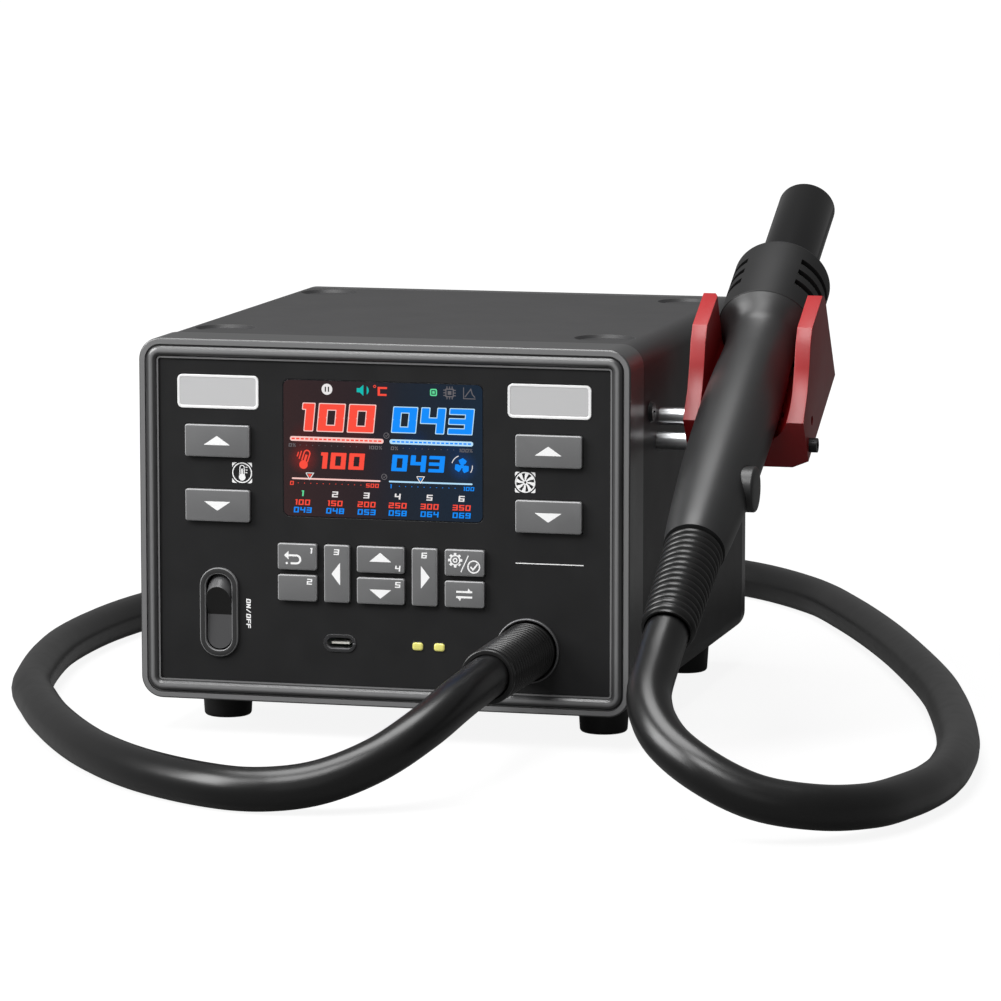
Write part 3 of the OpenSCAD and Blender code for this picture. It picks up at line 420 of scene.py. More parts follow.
def rib_row(count: int, radii: Flat, start: float, pitch: float, size: float, half: float,
            reach: float) -> list[Flat]:
    """Lists the profile of a row of round ribs on a tapering tube.

    Args:
        count: How many ribs.
        radii: Radius over the first rib and over the one that would follow the last.
        start: Height of the first rib.
        pitch: Height from each rib to the next, below 0 where they run down.
        size: Radius of a rib's section.
        half: Half the width of its foot.
        reach: Half the angle of its section, in degrees.

    Returns:
        The profile's points.
    """
    line: list[Flat] = []
    way = math.copysign(1, pitch)
    for i in range(count):
        r = radii[0] - size - (radii[0] - radii[1]) * i / count
        z = start + pitch * i
        line += [(r, z - way * half), *arc(r, z, size, -way * reach, way * reach),
                 (r, z + way * half)]
    return line


def smooth_line(points: Sequence[Vector], steps: int) -> list[Vector]:
    """Runs a smooth line through points.

    Args:
        points: The points.
        steps: Steps between each two of them.

    Returns:
        The line's points.
    """
    spots = [2 * points[0] - points[1], *points, 2 * points[-1] - points[-2]]
    line = []
    for a, b, c, d in zip(spots, spots[1:], spots[2:], spots[3:]):
        for k in range(steps):
            t = k / steps
            line.append(0.5 * (2 * b + (c - a) * t + (2 * a - 5 * b + 4 * c - d) * t * t
                               + (3 * b - a - 3 * c + d) * t ** 3))
    return [*line, points[-1]]


class Sheet:
    """A flat drawing that faces up, cut from thin stock in edit mode."""

    def __init__(self, name: str) -> None:
        """Opens an empty mesh for drawing.

        Args:
            name: The drawing's name.
        """
        clear_bench()
        bpy.ops.mesh.primitive_circle_add(vertices=3, radius=MM)
        self.obj = named(name)
        self.shapes = 0
        bpy.ops.object.mode_set(mode="EDIT")
        bpy.ops.mesh.select_all(action="SELECT")
        bpy.ops.mesh.delete(type="VERT")

    def spot(self, at: Flat) -> Spot:
        """Gives a place on the sheet, a hair above the shape drawn before."""
        self.shapes += 1
        return (at[0] * MM, at[1] * MM, self.shapes % 9 * 0.003 * MM)

    def disc(self, at: Flat, radius: float, sides: int = 32) -> "Sheet":
        """Draws a filled circle.

        Args:
            at: Its middle, in millimetres.
            radius: Its radius.
            sides: Steps round it.

        Returns:
            The sheet itself.
        """
        bpy.ops.mesh.select_all(action="DESELECT")
        bpy.ops.mesh.primitive_circle_add(vertices=sides, radius=radius * MM, fill_type="NGON",
                                          location=self.spot(at))
        return self

    def hollow(self, width: float) -> "Sheet":
        """Leaves only a band of the shape drawn last.

        Args:
            width: Width of the band.

        Returns:
            The sheet itself.
        """
        bpy.ops.mesh.inset(thickness=width * MM, depth=0)
        bpy.ops.mesh.delete(type="FACE")
        return self

    def ring(self, at: Flat, radius: float, width: float, sides: int = 32) -> "Sheet":
        """Draws a band along a circle, inside its radius."""
        return self.disc(at, radius, sides).hollow(width)

    def block(self, at: Flat, w: float, h: float, r: float = 0) -> "Sheet":
        """Draws a filled rectangle.

        Args:
            at: Its middle, in millimetres.
            w: Width.
            h: Height.
            r: Size of the rounding at each corner.

        Returns:
            The sheet itself.
        """
        bpy.ops.mesh.select_all(action="DESELECT")
        centre = self.spot(at)
        bpy.ops.mesh.primitive_plane_add(size=MM, location=centre)
        bpy.ops.transform.resize(value=(w, h, 1), center_override=centre)
        if r:
            bpy.ops.mesh.bevel(offset=r * MM, segments=6 if r < 3 else 18, affect="VERTICES")
        return self

    def patch(self, corners: Sequence[Flat], r: float = 0) -> "Sheet":
        """Draws a filled outline.

        Args:
            corners: Its corners, in millimetres.
            r: Size of the rounding at each corner.

        Returns:
            The sheet itself.
        """
        bpy.ops.mesh.select_all(action="DESELECT")
        x, y = corners[0]
        bpy.ops.mesh.primitive_circle_add(vertices=3, radius=0.01 * MM,
                                          location=self.spot((x, y)))
        bpy.ops.mesh.merge(type="CENTER")
        for u, v in corners[1:]:
            bpy.ops.mesh.extrude_vertices_move(
                TRANSFORM_OT_translate={"value": ((u - x) * MM, (v - y) * MM, 0)})
            x, y = u, v
        bpy.ops.mesh.select_linked()
        bpy.ops.mesh.edge_face_add()
        if r:
            bpy.ops.mesh.bevel(offset=r * MM, segments=4, affect="VERTICES")
        return self

    def bar(self, a: Flat, b: Flat, width: float) -> "Sheet":
        """Draws a straight stroke.

        Args:
            a: Where it starts.
            b: Where it ends.
            width: Its width.

        Returns:
            The sheet itself.
        """
        run = Vector(b) - Vector(a)
        n = Vector((-run.y, run.x)).normalized() * width / 2
        return self.patch([tuple(Vector(a) + n), tuple(Vector(a) - n),
                           tuple(Vector(b) - n), tuple(Vector(b) + n)])

    def stroke(self, points: Sequence[Flat], width: float) -> "Sheet":
        """Draws a bent stroke, mitred at its bends.

        Args:
            points: The points that it runs through.
            width: Its width.

        Returns:
            The sheet itself.
        """
        line = [Vector(p) for p in points]
        left, right = [], []
        for i, p in enumerate(line):
            a = (p - line[i - 1]).normalized() if i else (line[1] - p).normalized()
            b = (line[i + 1] - p).normalized() if i + 1 < len(line) else a
            n = Vector((-(a + b).y, (a + b).x)).normalized()
            half = width / 2 / max(0.4, n.dot(Vector((-a.y, a.x))))
            left.append(tuple(p + n * half))
            right.append(tuple(p - n * half))
        return self.patch([*left, *reversed(right)])

    def close(self) -> Piece:
        """Turns every face up and hands the drawing over.

        Returns:
            The flat mesh.
        """
        bpy.ops.object.mode_set(mode="OBJECT")
        pick_faces(self.obj, lambda face: face.normal.z < 0)
        bpy.ops.mesh.flip_normals()
        finish_edit()
        return settle(self.obj, Matrix.Identity(4))


def printed(obj: Piece, place: Matrix, thickness: float = 0.05) -> Piece:
    """Gives a flat drawing the thickness of print and puts it in its place."""
    apply_modifier(obj, "SOLIDIFY", thickness=thickness * MM, offset=-1)
    return settle(obj, place)


# ---------------------------------------------------------------- shader groups


class Nodes:
    """A short hand for laying out the nodes of one shader tree."""

    def __init__(self, tree: Tree) -> None:
        """Keeps the tree."""
        self.tree = tree

    def add(self, kind: str, inputs: dict | None = None, **settings: object) -> Node:
        """Adds a node.

        Args:
            kind: Its type, without the common prefix.
            inputs: Values or sockets for its inputs, by name or number.
            **settings: Values for its other settings.

        Returns:
            The node.
        """
        node = self.tree.nodes.new("ShaderNode" + kind)
        for key, value in settings.items():
            setattr(node, key, value)
        self.feed(node, inputs or {})
        return node

    def feed(self, node: Node, inputs: dict) -> None:
        """Sets some of a node's inputs.

        Args:
            node: The node.
            inputs: Values or sockets, by name or number.
        """
        for key, value in inputs.items():
            if isinstance(value, Socket):
                self.tree.links.new(value, node.inputs[key])
            else:
                node.inputs[key].default_value = value

    def shade(self, inputs: dict) -> None:
        """Sets some inputs of the material's shader."""
        self.feed(self.tree.nodes["Principled BSDF"], inputs)

    def maths(self, operation: str, *values: object) -> Socket:
        """Adds a sum of one kind and gives its result."""
        return self.add("Math", dict(enumerate(values)), operation=operation).outputs[0]

    def blend(self, factor: object, a: object, b: object) -> Socket:
        """Blends two colours and gives the result."""
        return self.add("Mix", {0: factor, 6: a, 7: b}, data_type="RGBA").outputs[2]

    def place(self, group: Tree, **inputs: object) -> Node:
        """Places a shared group with its own values."""
        return self.add("Group", inputs, node_tree=group)


def new_material(title: str) -> tuple[Material, Nodes]:
    """Opens a new material made of nodes.

    Args:
        title: Its name.

    Returns:
        The material and its nodes.
    """
    made = bpy.data.materials.new(title)
    made.use_nodes = True
    return made, Nodes(made.node_tree)


def shared_group(name: str, inputs: dict[str, str], outputs: dict[str, str]
                 ) -> tuple[Nodes, Node, Node]:
    """Makes an empty shader group.

    Args:
        name: Its name.
        inputs: Kind of each input socket, by name.
        outputs: Kind of each output socket, by name.

    Returns:
        Its nodes, its input node and its output node.
    """
    tree = bpy.data.node_groups.new(name, "ShaderNodeTree")
    for side, sockets in (("INPUT", inputs), ("OUTPUT", outputs)):
        for key, kind in sockets.items():
            tree.interface.new_socket(name=key, in_out=side, socket_type="NodeSocket" + kind)
    return Nodes(tree), tree.nodes.new("NodeGroupInput"), tree.nodes.new("NodeGroupOutput")


@cache
def grain_group() -> Tree:
    """Gives fine grain and slow patches of tone, stretched as the surface was worked.

    Returns:
        The group, made once.
    """
    nodes, given, result = shared_group(
        "surface_grain", {"Vector": "Vector", "Scale": "Float", "Stretch": "Vector"},
        {"Height": "Float", "Tone": "Float"})
    drawn = nodes.add("VectorMath", {0: given.outputs["Vector"], 1: given.outputs["Stretch"]},
                      operation="MULTIPLY").outputs[0]
    fine = nodes.add("TexNoise", {"Vector": drawn, "Scale": given.outputs["Scale"],
                                  "Detail": 3.0, "Roughness": 0.6})
    slow = nodes.add("TexNoise", {"Vector": drawn, "Detail": 2.0,
                                  "Scale": nodes.maths("MULTIPLY", given.outputs["Scale"], 0.03)})
    nodes.feed(result, {"Height": fine.outputs["Fac"], "Tone": slow.outputs["Fac"]})
    return nodes.tree


@cache
def edge_wear_and_highlight_group() -> Tree:
    """Gives a mask of the edges, where a finish paints partly real wear and partly a painted
    highlight, and a normal that rounds them.

    Returns:
        The group, made once.
    """
    nodes, given, result = shared_group(
        "edge_wear_and_highlight", {"Radius": "Float", "Vector": "Vector"},
        {"Mask": "Float", "Normal": "Vector"})
    rounded = nodes.add("Bevel", {"Radius": given.outputs["Radius"]}, samples=4).outputs[0]
    flat = nodes.add("NewGeometry").outputs["Normal"]
    agree = nodes.add("VectorMath", {0: rounded, 1: flat}, operation="DOT_PRODUCT").outputs["Value"]
    edge = nodes.maths("SUBTRACT", 1.0, agree)
    patchy = nodes.add("TexNoise", {"Vector": given.outputs["Vector"], "Scale": 160.0,
                                    "Detail": 3.0}).outputs["Fac"]
    wear_and_highlight = nodes.maths("MULTIPLY", nodes.maths("MULTIPLY", edge, 5.0),
                       nodes.maths("ADD", patchy, 0.4))
    clamp = nodes.add("Clamp", {0: wear_and_highlight}).outputs[0]
    nodes.feed(result, {"Mask": clamp, "Normal": rounded})
    return nodes.tree


@cache
def dust_group() -> Tree:
    """Gives a mask of the thin dust that settles on faces that look up.

    Returns:
        The group, made once.
    """
    nodes, given, result = shared_group(
        "settled_dust", {"Vector": "Vector", "Amount": "Float"}, {"Mask": "Float"})
    up = nodes.add("SeparateXYZ", {0: nodes.add("NewGeometry").outputs["Normal"]}).outputs[2]
    lying = nodes.maths("POWER", nodes.maths("MAXIMUM", up, 0.0), 3.0)
    patchy = nodes.add("TexNoise", {"Vector": given.outputs["Vector"], "Scale": 55.0,
                                    "Detail": 6.0, "Roughness": 0.7}).outputs["Fac"]
    mask = nodes.maths("MULTIPLY", nodes.maths("MULTIPLY", lying, patchy), given.outputs["Amount"])
    nodes.feed(result, {"Mask": mask})
    return nodes.tree


@cache
def dot_group() -> Tree:
    """Gives the fine grid of a lit display.

    Returns:
        The group, made once.
    """
    nodes, given, result = shared_group(
        "display_dots", {"Vector": "Vector", "Pitch": "Float"}, {"Mask": "Float"})
    lines = []
    for axis in (0, 2):
        along = nodes.add("SeparateXYZ", {0: given.outputs["Vector"]}).outputs[axis]
        part = nodes.maths("FRACT", nodes.maths("DIVIDE", along, given.outputs["Pitch"]))
        lines.append(nodes.maths("LESS_THAN", part, DOT_SHARE))
    nodes.feed(result, {"Mask": nodes.maths("MULTIPLY", *lines)})
    return nodes.tree


# ---------------------------------------------------------------- finishes


class Grain(Enum):
    """How a surface is broken up: scale of the grain and its stretch along X, Y and Z."""

    MOULDED = (2600.0, (1.0, 1.0, 1.0))
    POWDER = (1500.0, (1.0, 1.0, 1.0))
    RUBBER = (4200.0, (1.0, 1.0, 1.0))
    BRUSHED_X = (900.0, (0.03, 1.0, 1.0))
    ROLLED = (500.0, (1.0, 0.2, 1.0))
    LAYERS = (700.0, (0.02, 1.0, 0.02))
    WOVEN = (1800.0, (1.0, 0.25, 1.0))


@dataclass(frozen=True)
class Finish:
    """A surface finish and how it is made of shader nodes."""

    name: str
    colour: Colour
    roughness: float = 0.5
    metallic: float = 0.0
    coat: float = 0.0
    grain: Grain = Grain.MOULDED
    bump: float = 0.08
    tone: float = 0.12
    edge: float = 0.25
    # how much the edge mask lightens the colour, partly as real wear and partly as a painted
    # highlight; the colour below is what it lightens to, and also the colour of the crest's painted
    # highlight
    wear_and_highlight_share: float = 0.15
    wear_and_highlight: Colour = (0.25, 0.25, 0.25)
    dust: float = 0.0
    specular: float = 0.5
    glow: float = 0.0
    # a painted highlight: faces that look to the front are lightened by this share
    crest: float = 0.0

    @cache
    def build(self) -> Material:
        """Makes the material.

        Returns:
            The material, made once.
        """
        made, nodes = new_material(f"{self.name}_finish")
        where = nodes.add("TexCoord").outputs["Object"]
        scale, stretch = self.grain.value
        grain = nodes.place(grain_group(), Vector=where, Scale=scale, Stretch=stretch)
        colour = nodes.blend(grain.outputs["Tone"], self.tint(1 - self.tone),
                             self.tint(1 + self.tone))
        bump = nodes.add("Bump", {"Strength": self.bump, "Distance": BUMP_DEPTH,
                                  "Height": grain.outputs["Height"]})
        # edges are lightened: partly real wear, partly a painted highlight
        if self.edge:
            edge = nodes.place(edge_wear_and_highlight_group(), Radius=self.edge * MM, Vector=where)
            mask = nodes.maths("MULTIPLY", edge.outputs["Mask"], self.wear_and_highlight_share)
            colour = nodes.blend(mask, colour, (*self.wear_and_highlight, 1))
            nodes.feed(bump, {"Normal": edge.outputs["Normal"]})
        # faces that look to the front are lightened: a painted highlight along a crest
        if self.crest:
            facing = nodes.add("SeparateXYZ", {0: nodes.add("TexCoord").outputs["Normal"]})
            mask = nodes.add("MapRange", {0: facing.outputs["Y"], 1: PAINTED_HIGHLIGHT_FROM, 2: -1.0,
                                          3: 0.0, 4: self.crest}).outputs[0]
            colour = nodes.blend(mask, colour, (*self.wear_and_highlight, 1))
        if self.dust:
            dust = nodes.place(dust_group(), Vector=where, Amount=self.dust)
            colour = nodes.blend(dust.outputs["Mask"], colour, DUST_COLOUR)
        rough = nodes.add("MapRange", {0: grain.outputs["Tone"],
                                       3: self.roughness * (1 - ROUGHNESS_SPREAD),
                                       4: self.roughness * (1 + ROUGHNESS_SPREAD)}).outputs[0]
        nodes.shade({"Base Color": colour, "Roughness": rough, "Normal": bump.outputs[0],
                     "Metallic": self.metallic, "Coat Weight": self.coat,
                     "Coat Roughness": COAT_ROUGHNESS, "Specular IOR Level": self.specular})
        if self.glow:
            nodes.shade({"Emission Color": colour, "Emission Strength": self.glow})
        return made

    def tint(self, k: float) -> tuple[float, float, float, float]:
        """Gives the colour made lighter or darker."""
        return (*(min(1.0, c * k) for c in self.colour), 1)


@dataclass(frozen=True)
class Glow:
    """A colour of the lit display, broken into its dots."""

    name: str
    colour: Colour
    strength: float = 1.0
    dim: float = 0.86

    @cache
    def build(self) -> Material:
        """Makes the material.

        Returns:
            The material, made once.
        """
        made, nodes = new_material(f"{self.name}_finish")
        where = nodes.add("TexCoord").outputs["Object"]
        grid = nodes.place(dot_group(), Vector=where, Pitch=DOT_PITCH)
        dim = tuple(c * self.dim for c in self.colour)
        lit = nodes.blend(grid.outputs["Mask"], (*dim, 1), (*self.colour, 1))
        nodes.shade({"Emission Color": lit, "Emission Strength": self.strength,
                     "Base Color": (0.005, 0.005, 0.005, 1), "Roughness": 0.2,
                     "Specular IOR Level": 0.2})
        return made


CASE_PAINT = Finish("case_paint", (0.026, 0.026, 0.027), 0.46, grain=Grain.POWDER, bump=0.16,
                    wear_and_highlight_share=0.3, dust=0.03, specular=0.3)
# the frame's bead gets a painted highlight where its faces look to the front
FRAME_PLASTIC = Finish("frame_plastic", (0.036, 0.036, 0.037), 0.33, tone=0.04, bump=0.01,
                       edge=0, wear_and_highlight=(0.17, 0.17, 0.172), specular=1.0, crest=1.0)
PANEL_PLASTIC = Finish("panel_plastic", (0.014, 0.014, 0.0145), 0.4, tone=0.15, specular=0.3)
KEY_PLASTIC = Finish("key_plastic", (0.15, 0.151, 0.153), 0.4, edge=0)
# a lighter colour for the keys' rounded edges: a painted highlight
KEY_EDGE_HIGHLIGHT = Finish("key_edge", (0.36, 0.36, 0.365), 0.34, edge=0)
BLACK_PLASTIC = Finish("black_plastic", (0.012, 0.012, 0.012), 0.38, specular=0.4)
ROCKER_PLASTIC = Finish("rocker_plastic", (0.068, 0.068, 0.07), 0.36, edge=0)
BEZEL_PLASTIC = Finish("bezel_plastic", (0.024, 0.024, 0.0245), 0.4, edge=0)
# a lighter colour for the bezel's rounded sides: a painted highlight
ROCKER_EDGE_HIGHLIGHT = Finish("rocker_edge_highlight", (0.19, 0.19, 0.193), 0.34, edge=0)
# a lighter colour for the port rim's sides: a painted highlight
PORT_EDGE_HIGHLIGHT = Finish("port_edge_highlight", (0.36, 0.36, 0.37), 0.3, 0.5, edge=0)
WINDOW_BLACK = Finish("window_black", (0.004, 0.004, 0.006), 0.12, bump=0.01, specular=0.3)
STEEL = Finish("steel", (0.58, 0.59, 0.6), 0.28, 1.0, grain=Grain.BRUSHED_X, tone=0.06)
MODULE_METAL = Finish("module_metal", (0.4, 0.42, 0.44), 0.35, 1.0, grain=Grain.ROLLED)
RING_METAL = Finish("bright_ring", (0.13, 0.13, 0.133), 0.42, 0.7, grain=Grain.BRUSHED_X,
                    edge=0.1, wear_and_highlight_share=0.4, wear_and_highlight=(0.6, 0.6, 0.6))
BLACK_STEEL = Finish("black_steel", (0.02, 0.02, 0.021), 0.35, 0.6, grain=Grain.ROLLED,
                     wear_and_highlight=(0.35, 0.35, 0.35), wear_and_highlight_share=0.6)
PORT_STEEL = Finish("port_steel", (0.05, 0.05, 0.052), 0.35, 0.5, grain=Grain.ROLLED, edge=0)
SILVER = Finish("silver_plate", (0.58, 0.58, 0.585), 0.42, 0.15, grain=Grain.BRUSHED_X,
                bump=0.05, tone=0.05, edge=0)
# a near-white colour for the plates' rims: a painted highlight
SILVER_RIM_HIGHLIGHT = Finish("silver_rim_highlight", (0.93, 0.93, 0.93), 0.3, 0.1, bump=0.02, tone=0.03, edge=0)
BOARD = Finish("board_green", (0.02, 0.13, 0.05), 0.35, grain=Grain.WOVEN, coat=0.4)
PALE = Finish("pale_plastic", (0.72, 0.71, 0.65), 0.4)
LENS = Finish("lens_yellow", (0.66, 0.62, 0.17), 0.18, tone=0.3, coat=0.6, edge=0, glow=0.25)
RUBBER = Finish("black_rubber", (0.008, 0.008, 0.008), 0.42, grain=Grain.RUBBER, specular=0.45)
BOOT_RUBBER = Finish("boot_rubber", (0.006, 0.006, 0.006), 0.3, grain=Grain.RUBBER, bump=0.02,
                     edge=0, specular=0.5)
HOSE_RUBBER = Finish("hose_rubber", (0.0035, 0.0035, 0.0036), 0.31, grain=Grain.RUBBER,
                     tone=0.06, bump=0.04, edge=0, specular=0.5)
BRASS = Finish("contact_brass", (0.7, 0.55, 0.25), 0.3, 1.0, grain=Grain.ROLLED)
# its edges are lightened to a pale red: a painted highlight
RED = Finish("holder_red", (0.29, 0.006, 0.008), 0.33, tone=0.07, bump=0.03, edge=0.3,
             wear_and_highlight=(0.8, 0.12, 0.1), wear_and_highlight_share=0.35, specular=0.5)
ALUMINIUM = Finish("bright_aluminium", (0.6, 0.61, 0.62), 0.28, 1.0, grain=Grain.BRUSHED_X,
                   bump=0.03)
HEAT_STEEL = Finish("heat_steel", (0.006, 0.006, 0.0062), 0.17, 0.0, grain=Grain.ROLLED,
                    bump=0.02, edge=0, tone=0.3, specular=0.35)
HANDSET_PAINT = Finish("handset_paint", (0.017, 0.0172, 0.0176), 0.4, 0.0,
                       grain=Grain.POWDER, bump=0.04, edge=0, specular=0.5)
COLLAR_PAINT = Finish("collar_paint", (0.011, 0.011, 0.0113), 0.5, grain=Grain.POWDER, edge=0.15,
                      specular=0.3)
MICA = Finish("mica_white", (0.78, 0.76, 0.7), 0.7, grain=Grain.ROLLED)
TAPE = Finish("winding_tape", (0.7, 0.42, 0.09), 0.35, grain=Grain.LAYERS, bump=0.2)
CORE = Finish("core_steel", (0.22, 0.23, 0.25), 0.4, 0.8, grain=Grain.LAYERS, bump=0.5, tone=0.3)
PRINT_WHITE = Finish("print_white", (0.95, 0.95, 0.95), 0.6, tone=0.03, bump=0.02, edge=0)

DRESS: dict[str, Finish] = {
    node: finish for finish, nodes in (
        (CASE_PAINT, ("case_shell", "rear_panel")),
        (FRAME_PLASTIC, ("front_frame", "rear_frame")),
        (PANEL_PLASTIC, ("front_panel",)),
        (STEEL, ("chassis_tray", "rear_screws", "foot_screws", "key_switches", "board_screws",
                 "blower_motor", "holder_magnet", "standoff_screws")),
        (BLACK_STEEL, ("side_screws", "holder_screws")),
        (RUBBER, ("feet", "hose_sleeve")),
        (WINDOW_BLACK, ("display_window",)),
        (MODULE_METAL, ("display_module",)),
        (SILVER, ("plate_left", "plate_right")),
        (BOARD, ("control_board", "power_board", "handle_board")),
        (ROCKER_PLASTIC, ("rocker_bezel", "rocker_switch")),
        (BLACK_PLASTIC, ("rocker_body", "air_duct", "blower_volute", "blower_cover",
                         "power_inlet")),
        (PORT_STEEL, ("usb_shell",)),
        (PALE, ("usb_tongue", "blower_impeller")),
        (LENS, ("indicator_lenses",)),
        (RING_METAL, ("gland_ring",)),
        (CORE, ("transformer_core",)),
        (TAPE, ("transformer_winding",)),
        (BRASS, ("inlet_pins",)),
        (RED, ("holder",)),
        (ALUMINIUM, ("holder_standoffs",)),
        (HEAT_STEEL, ("nozzle_tube",)),
        (COLLAR_PAINT, ("heater_collar",)),
        (MICA, ("heating_core",)),
        (HANDSET_PAINT, ("handle_shell", "handle_button")),
        (BOOT_RUBBER, ("handle_boot",)),
    ) for node in nodes
}


def dressed(piece: Piece, finish: Finish | Glow, body: str,
            stands_for: Sequence[str] = ()) -> Piece:
    """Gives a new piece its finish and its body.

    Args:
        piece: The finished piece.
        finish: What it is covered with.
        body: The body it moves with.
        stands_for: The CAD nodes that it stands for.

    Returns:
        The same piece.
    """
    piece.data.materials.clear()
    piece.data.materials.append(finish.build())
    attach(piece, body)
    if stands_for:
        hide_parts(*stands_for)
    LOG.info("made %s", piece.name)
    return piece


def paint_light_on_faces(piece: Piece, finish: Finish,
            wanted: Callable[[Face], bool]) -> None:
    """Gives some faces of a piece a second finish: painted light and shade.

    Args:
        piece: The dressed piece.
        finish: The second finish, a painted highlight on edges in most uses and painted shade on
            the rocker's raised face.
        wanted: Says of a face whether it gets it.
    """
    piece.data.materials.append(finish.build())
    for face in piece.data.polygons:
        face.material_index = int(wanted(face))


# ---------------------------------------------------------------- numerals

STEMS: dict[str, str] = {
    "0": "abcdef", "2": "abged", "3": "abgcd", "4": "fgbc", "5": "afgcd", "6": "afgecd",
    "8": "abcdefg", "9": "afgbcd", "O": "abcdef", "N": "bcfe", "F": "afge", "/": "",
}


@dataclass
class Numerals:
    """Wide slanted block numerals, drawn once each and copied wherever they are set."""

    wide: float = 0.97
    upright: float = 0.31
    level: float = 0.205
    slant: float = 0.1
    gap: float = 0.19
    halo: float = 0.033
    cut: dict[tuple[str, bool], Piece] = field(default_factory=dict)

    def stems(self, digit: str) -> list[tuple[float, float, float, float]]:
        """Lists a numeral's strokes.

        Args:
            digit: The numeral.

        Returns:
            The left, lower, right and upper limits of each.
        """
        w, u, v = self.wide, self.upright, self.level
        if digit == "%":
            return [(0, 0.6, 0.32, 1), (w - 0.32, 0, w, 0.4)]
        if digit == "1":
            return [(0.13, 0, 0.13 + u, 1), (0, 1 - v, 0.2, 1)]
        spans = {
            "a": (0, 1 - v, w, 1), "d": (0, 0, w, v), "g": (0, 0.5 - v / 2, w, 0.5 + v / 2),
            "f": (0, 0.5, u, 1), "e": (0, 0, u, 0.5), "b": (w - u, 0.5, w, 1),
            "c": (w - u, 0, w, 0.5),
        }
        return [spans[s] for s in STEMS[digit]]

    def width(self, digit: str) -> float:
        """Gives a digit's width as a share of its height."""
        return 0.13 + self.upright if digit == "1" else self.wide

    def template(self, digit: str, halo: bool) -> Piece:
        """Cuts a numeral one unit high, once.

        Args:
            digit: The numeral.
            halo: Whether it is the wider shape that lies behind.

        Returns:
            Its object, which isn't rendered.
        """
        if (digit, halo) not in self.cut:
            grow = self.halo if halo else 0
            sheet = Sheet(f"numeral_{digit}")
            for x0, y0, x1, y1 in self.stems(digit):
                sheet.block(((x0 + x1) / 2, (y0 + y1) / 2), x1 - x0 + 2 * grow, y1 - y0 + 2 * grow,
                            0.04)
            if digit in "%/":
                sheet.bar((0.15, 0), (0.75, 1), 0.2)
            if digit == "N":
                sheet.bar((self.upright / 2, 0.95), (self.wide - self.upright / 2, 0.05), 0.25)
            obj = sheet.close()
            lean = Matrix.Identity(4)
            lean[0][1] = self.slant
            obj.data.transform(lean)
            obj.hide_render = True
            self.cut[digit, halo] = obj
        return self.cut[digit, halo]

    def line(self, text: str, at: Flat, height: float, halo: bool = False,
             stretch: float = 1) -> list[Piece]:
        """Sets numerals in one line.

        Args:
            text: The numerals.
            at: The middle of the line, in millimetres.
            height: Height of the numerals.
            halo: Whether the wider shape is set.
            stretch: How much wider than usual it is set.

        Returns:
            Their objects, still lying flat.
        """
        span = sum(self.width(d) for d in text) + self.gap * (len(text) - 1)
        x = at[0] - (span + self.slant) / 2 * height * stretch
        parts = []
        for digit in text:
            place = shift(x, at[1] - height / 2, 0) @ Matrix.Diagonal(
                (height * stretch, height, 1, 1))
            twin = copied(self.template(digit, halo), place)
            twin.hide_render = False
            parts.append(twin)
            x += (self.width(digit) + self.gap) * height * stretch
        return parts

    def clear(self) -> None:
        """Throws the templates away."""
        for obj in self.cut.values():
            bpy.data.objects.remove(obj)
        self.cut.clear()


# ---------------------------------------------------------------- keys


class Icon(Enum):
    """What is printed on a key."""

    UP = "up"
    DOWN = "down"
    LEFT = "left"
    RIGHT = "right"
    RETURN = "return"
    SETTINGS = "settings"
    SWAP = "swap"
    BARE = "bare"


@dataclass(frozen=True)
class Key:
    """One key of the front: its node, its print and where the print sits."""

    node: str
    icon: Icon
    at: Flat = (0, 0)
    size: Flat = (8.6, 3.5)
    number: str = ""
    number_at: Flat = (0, 0)


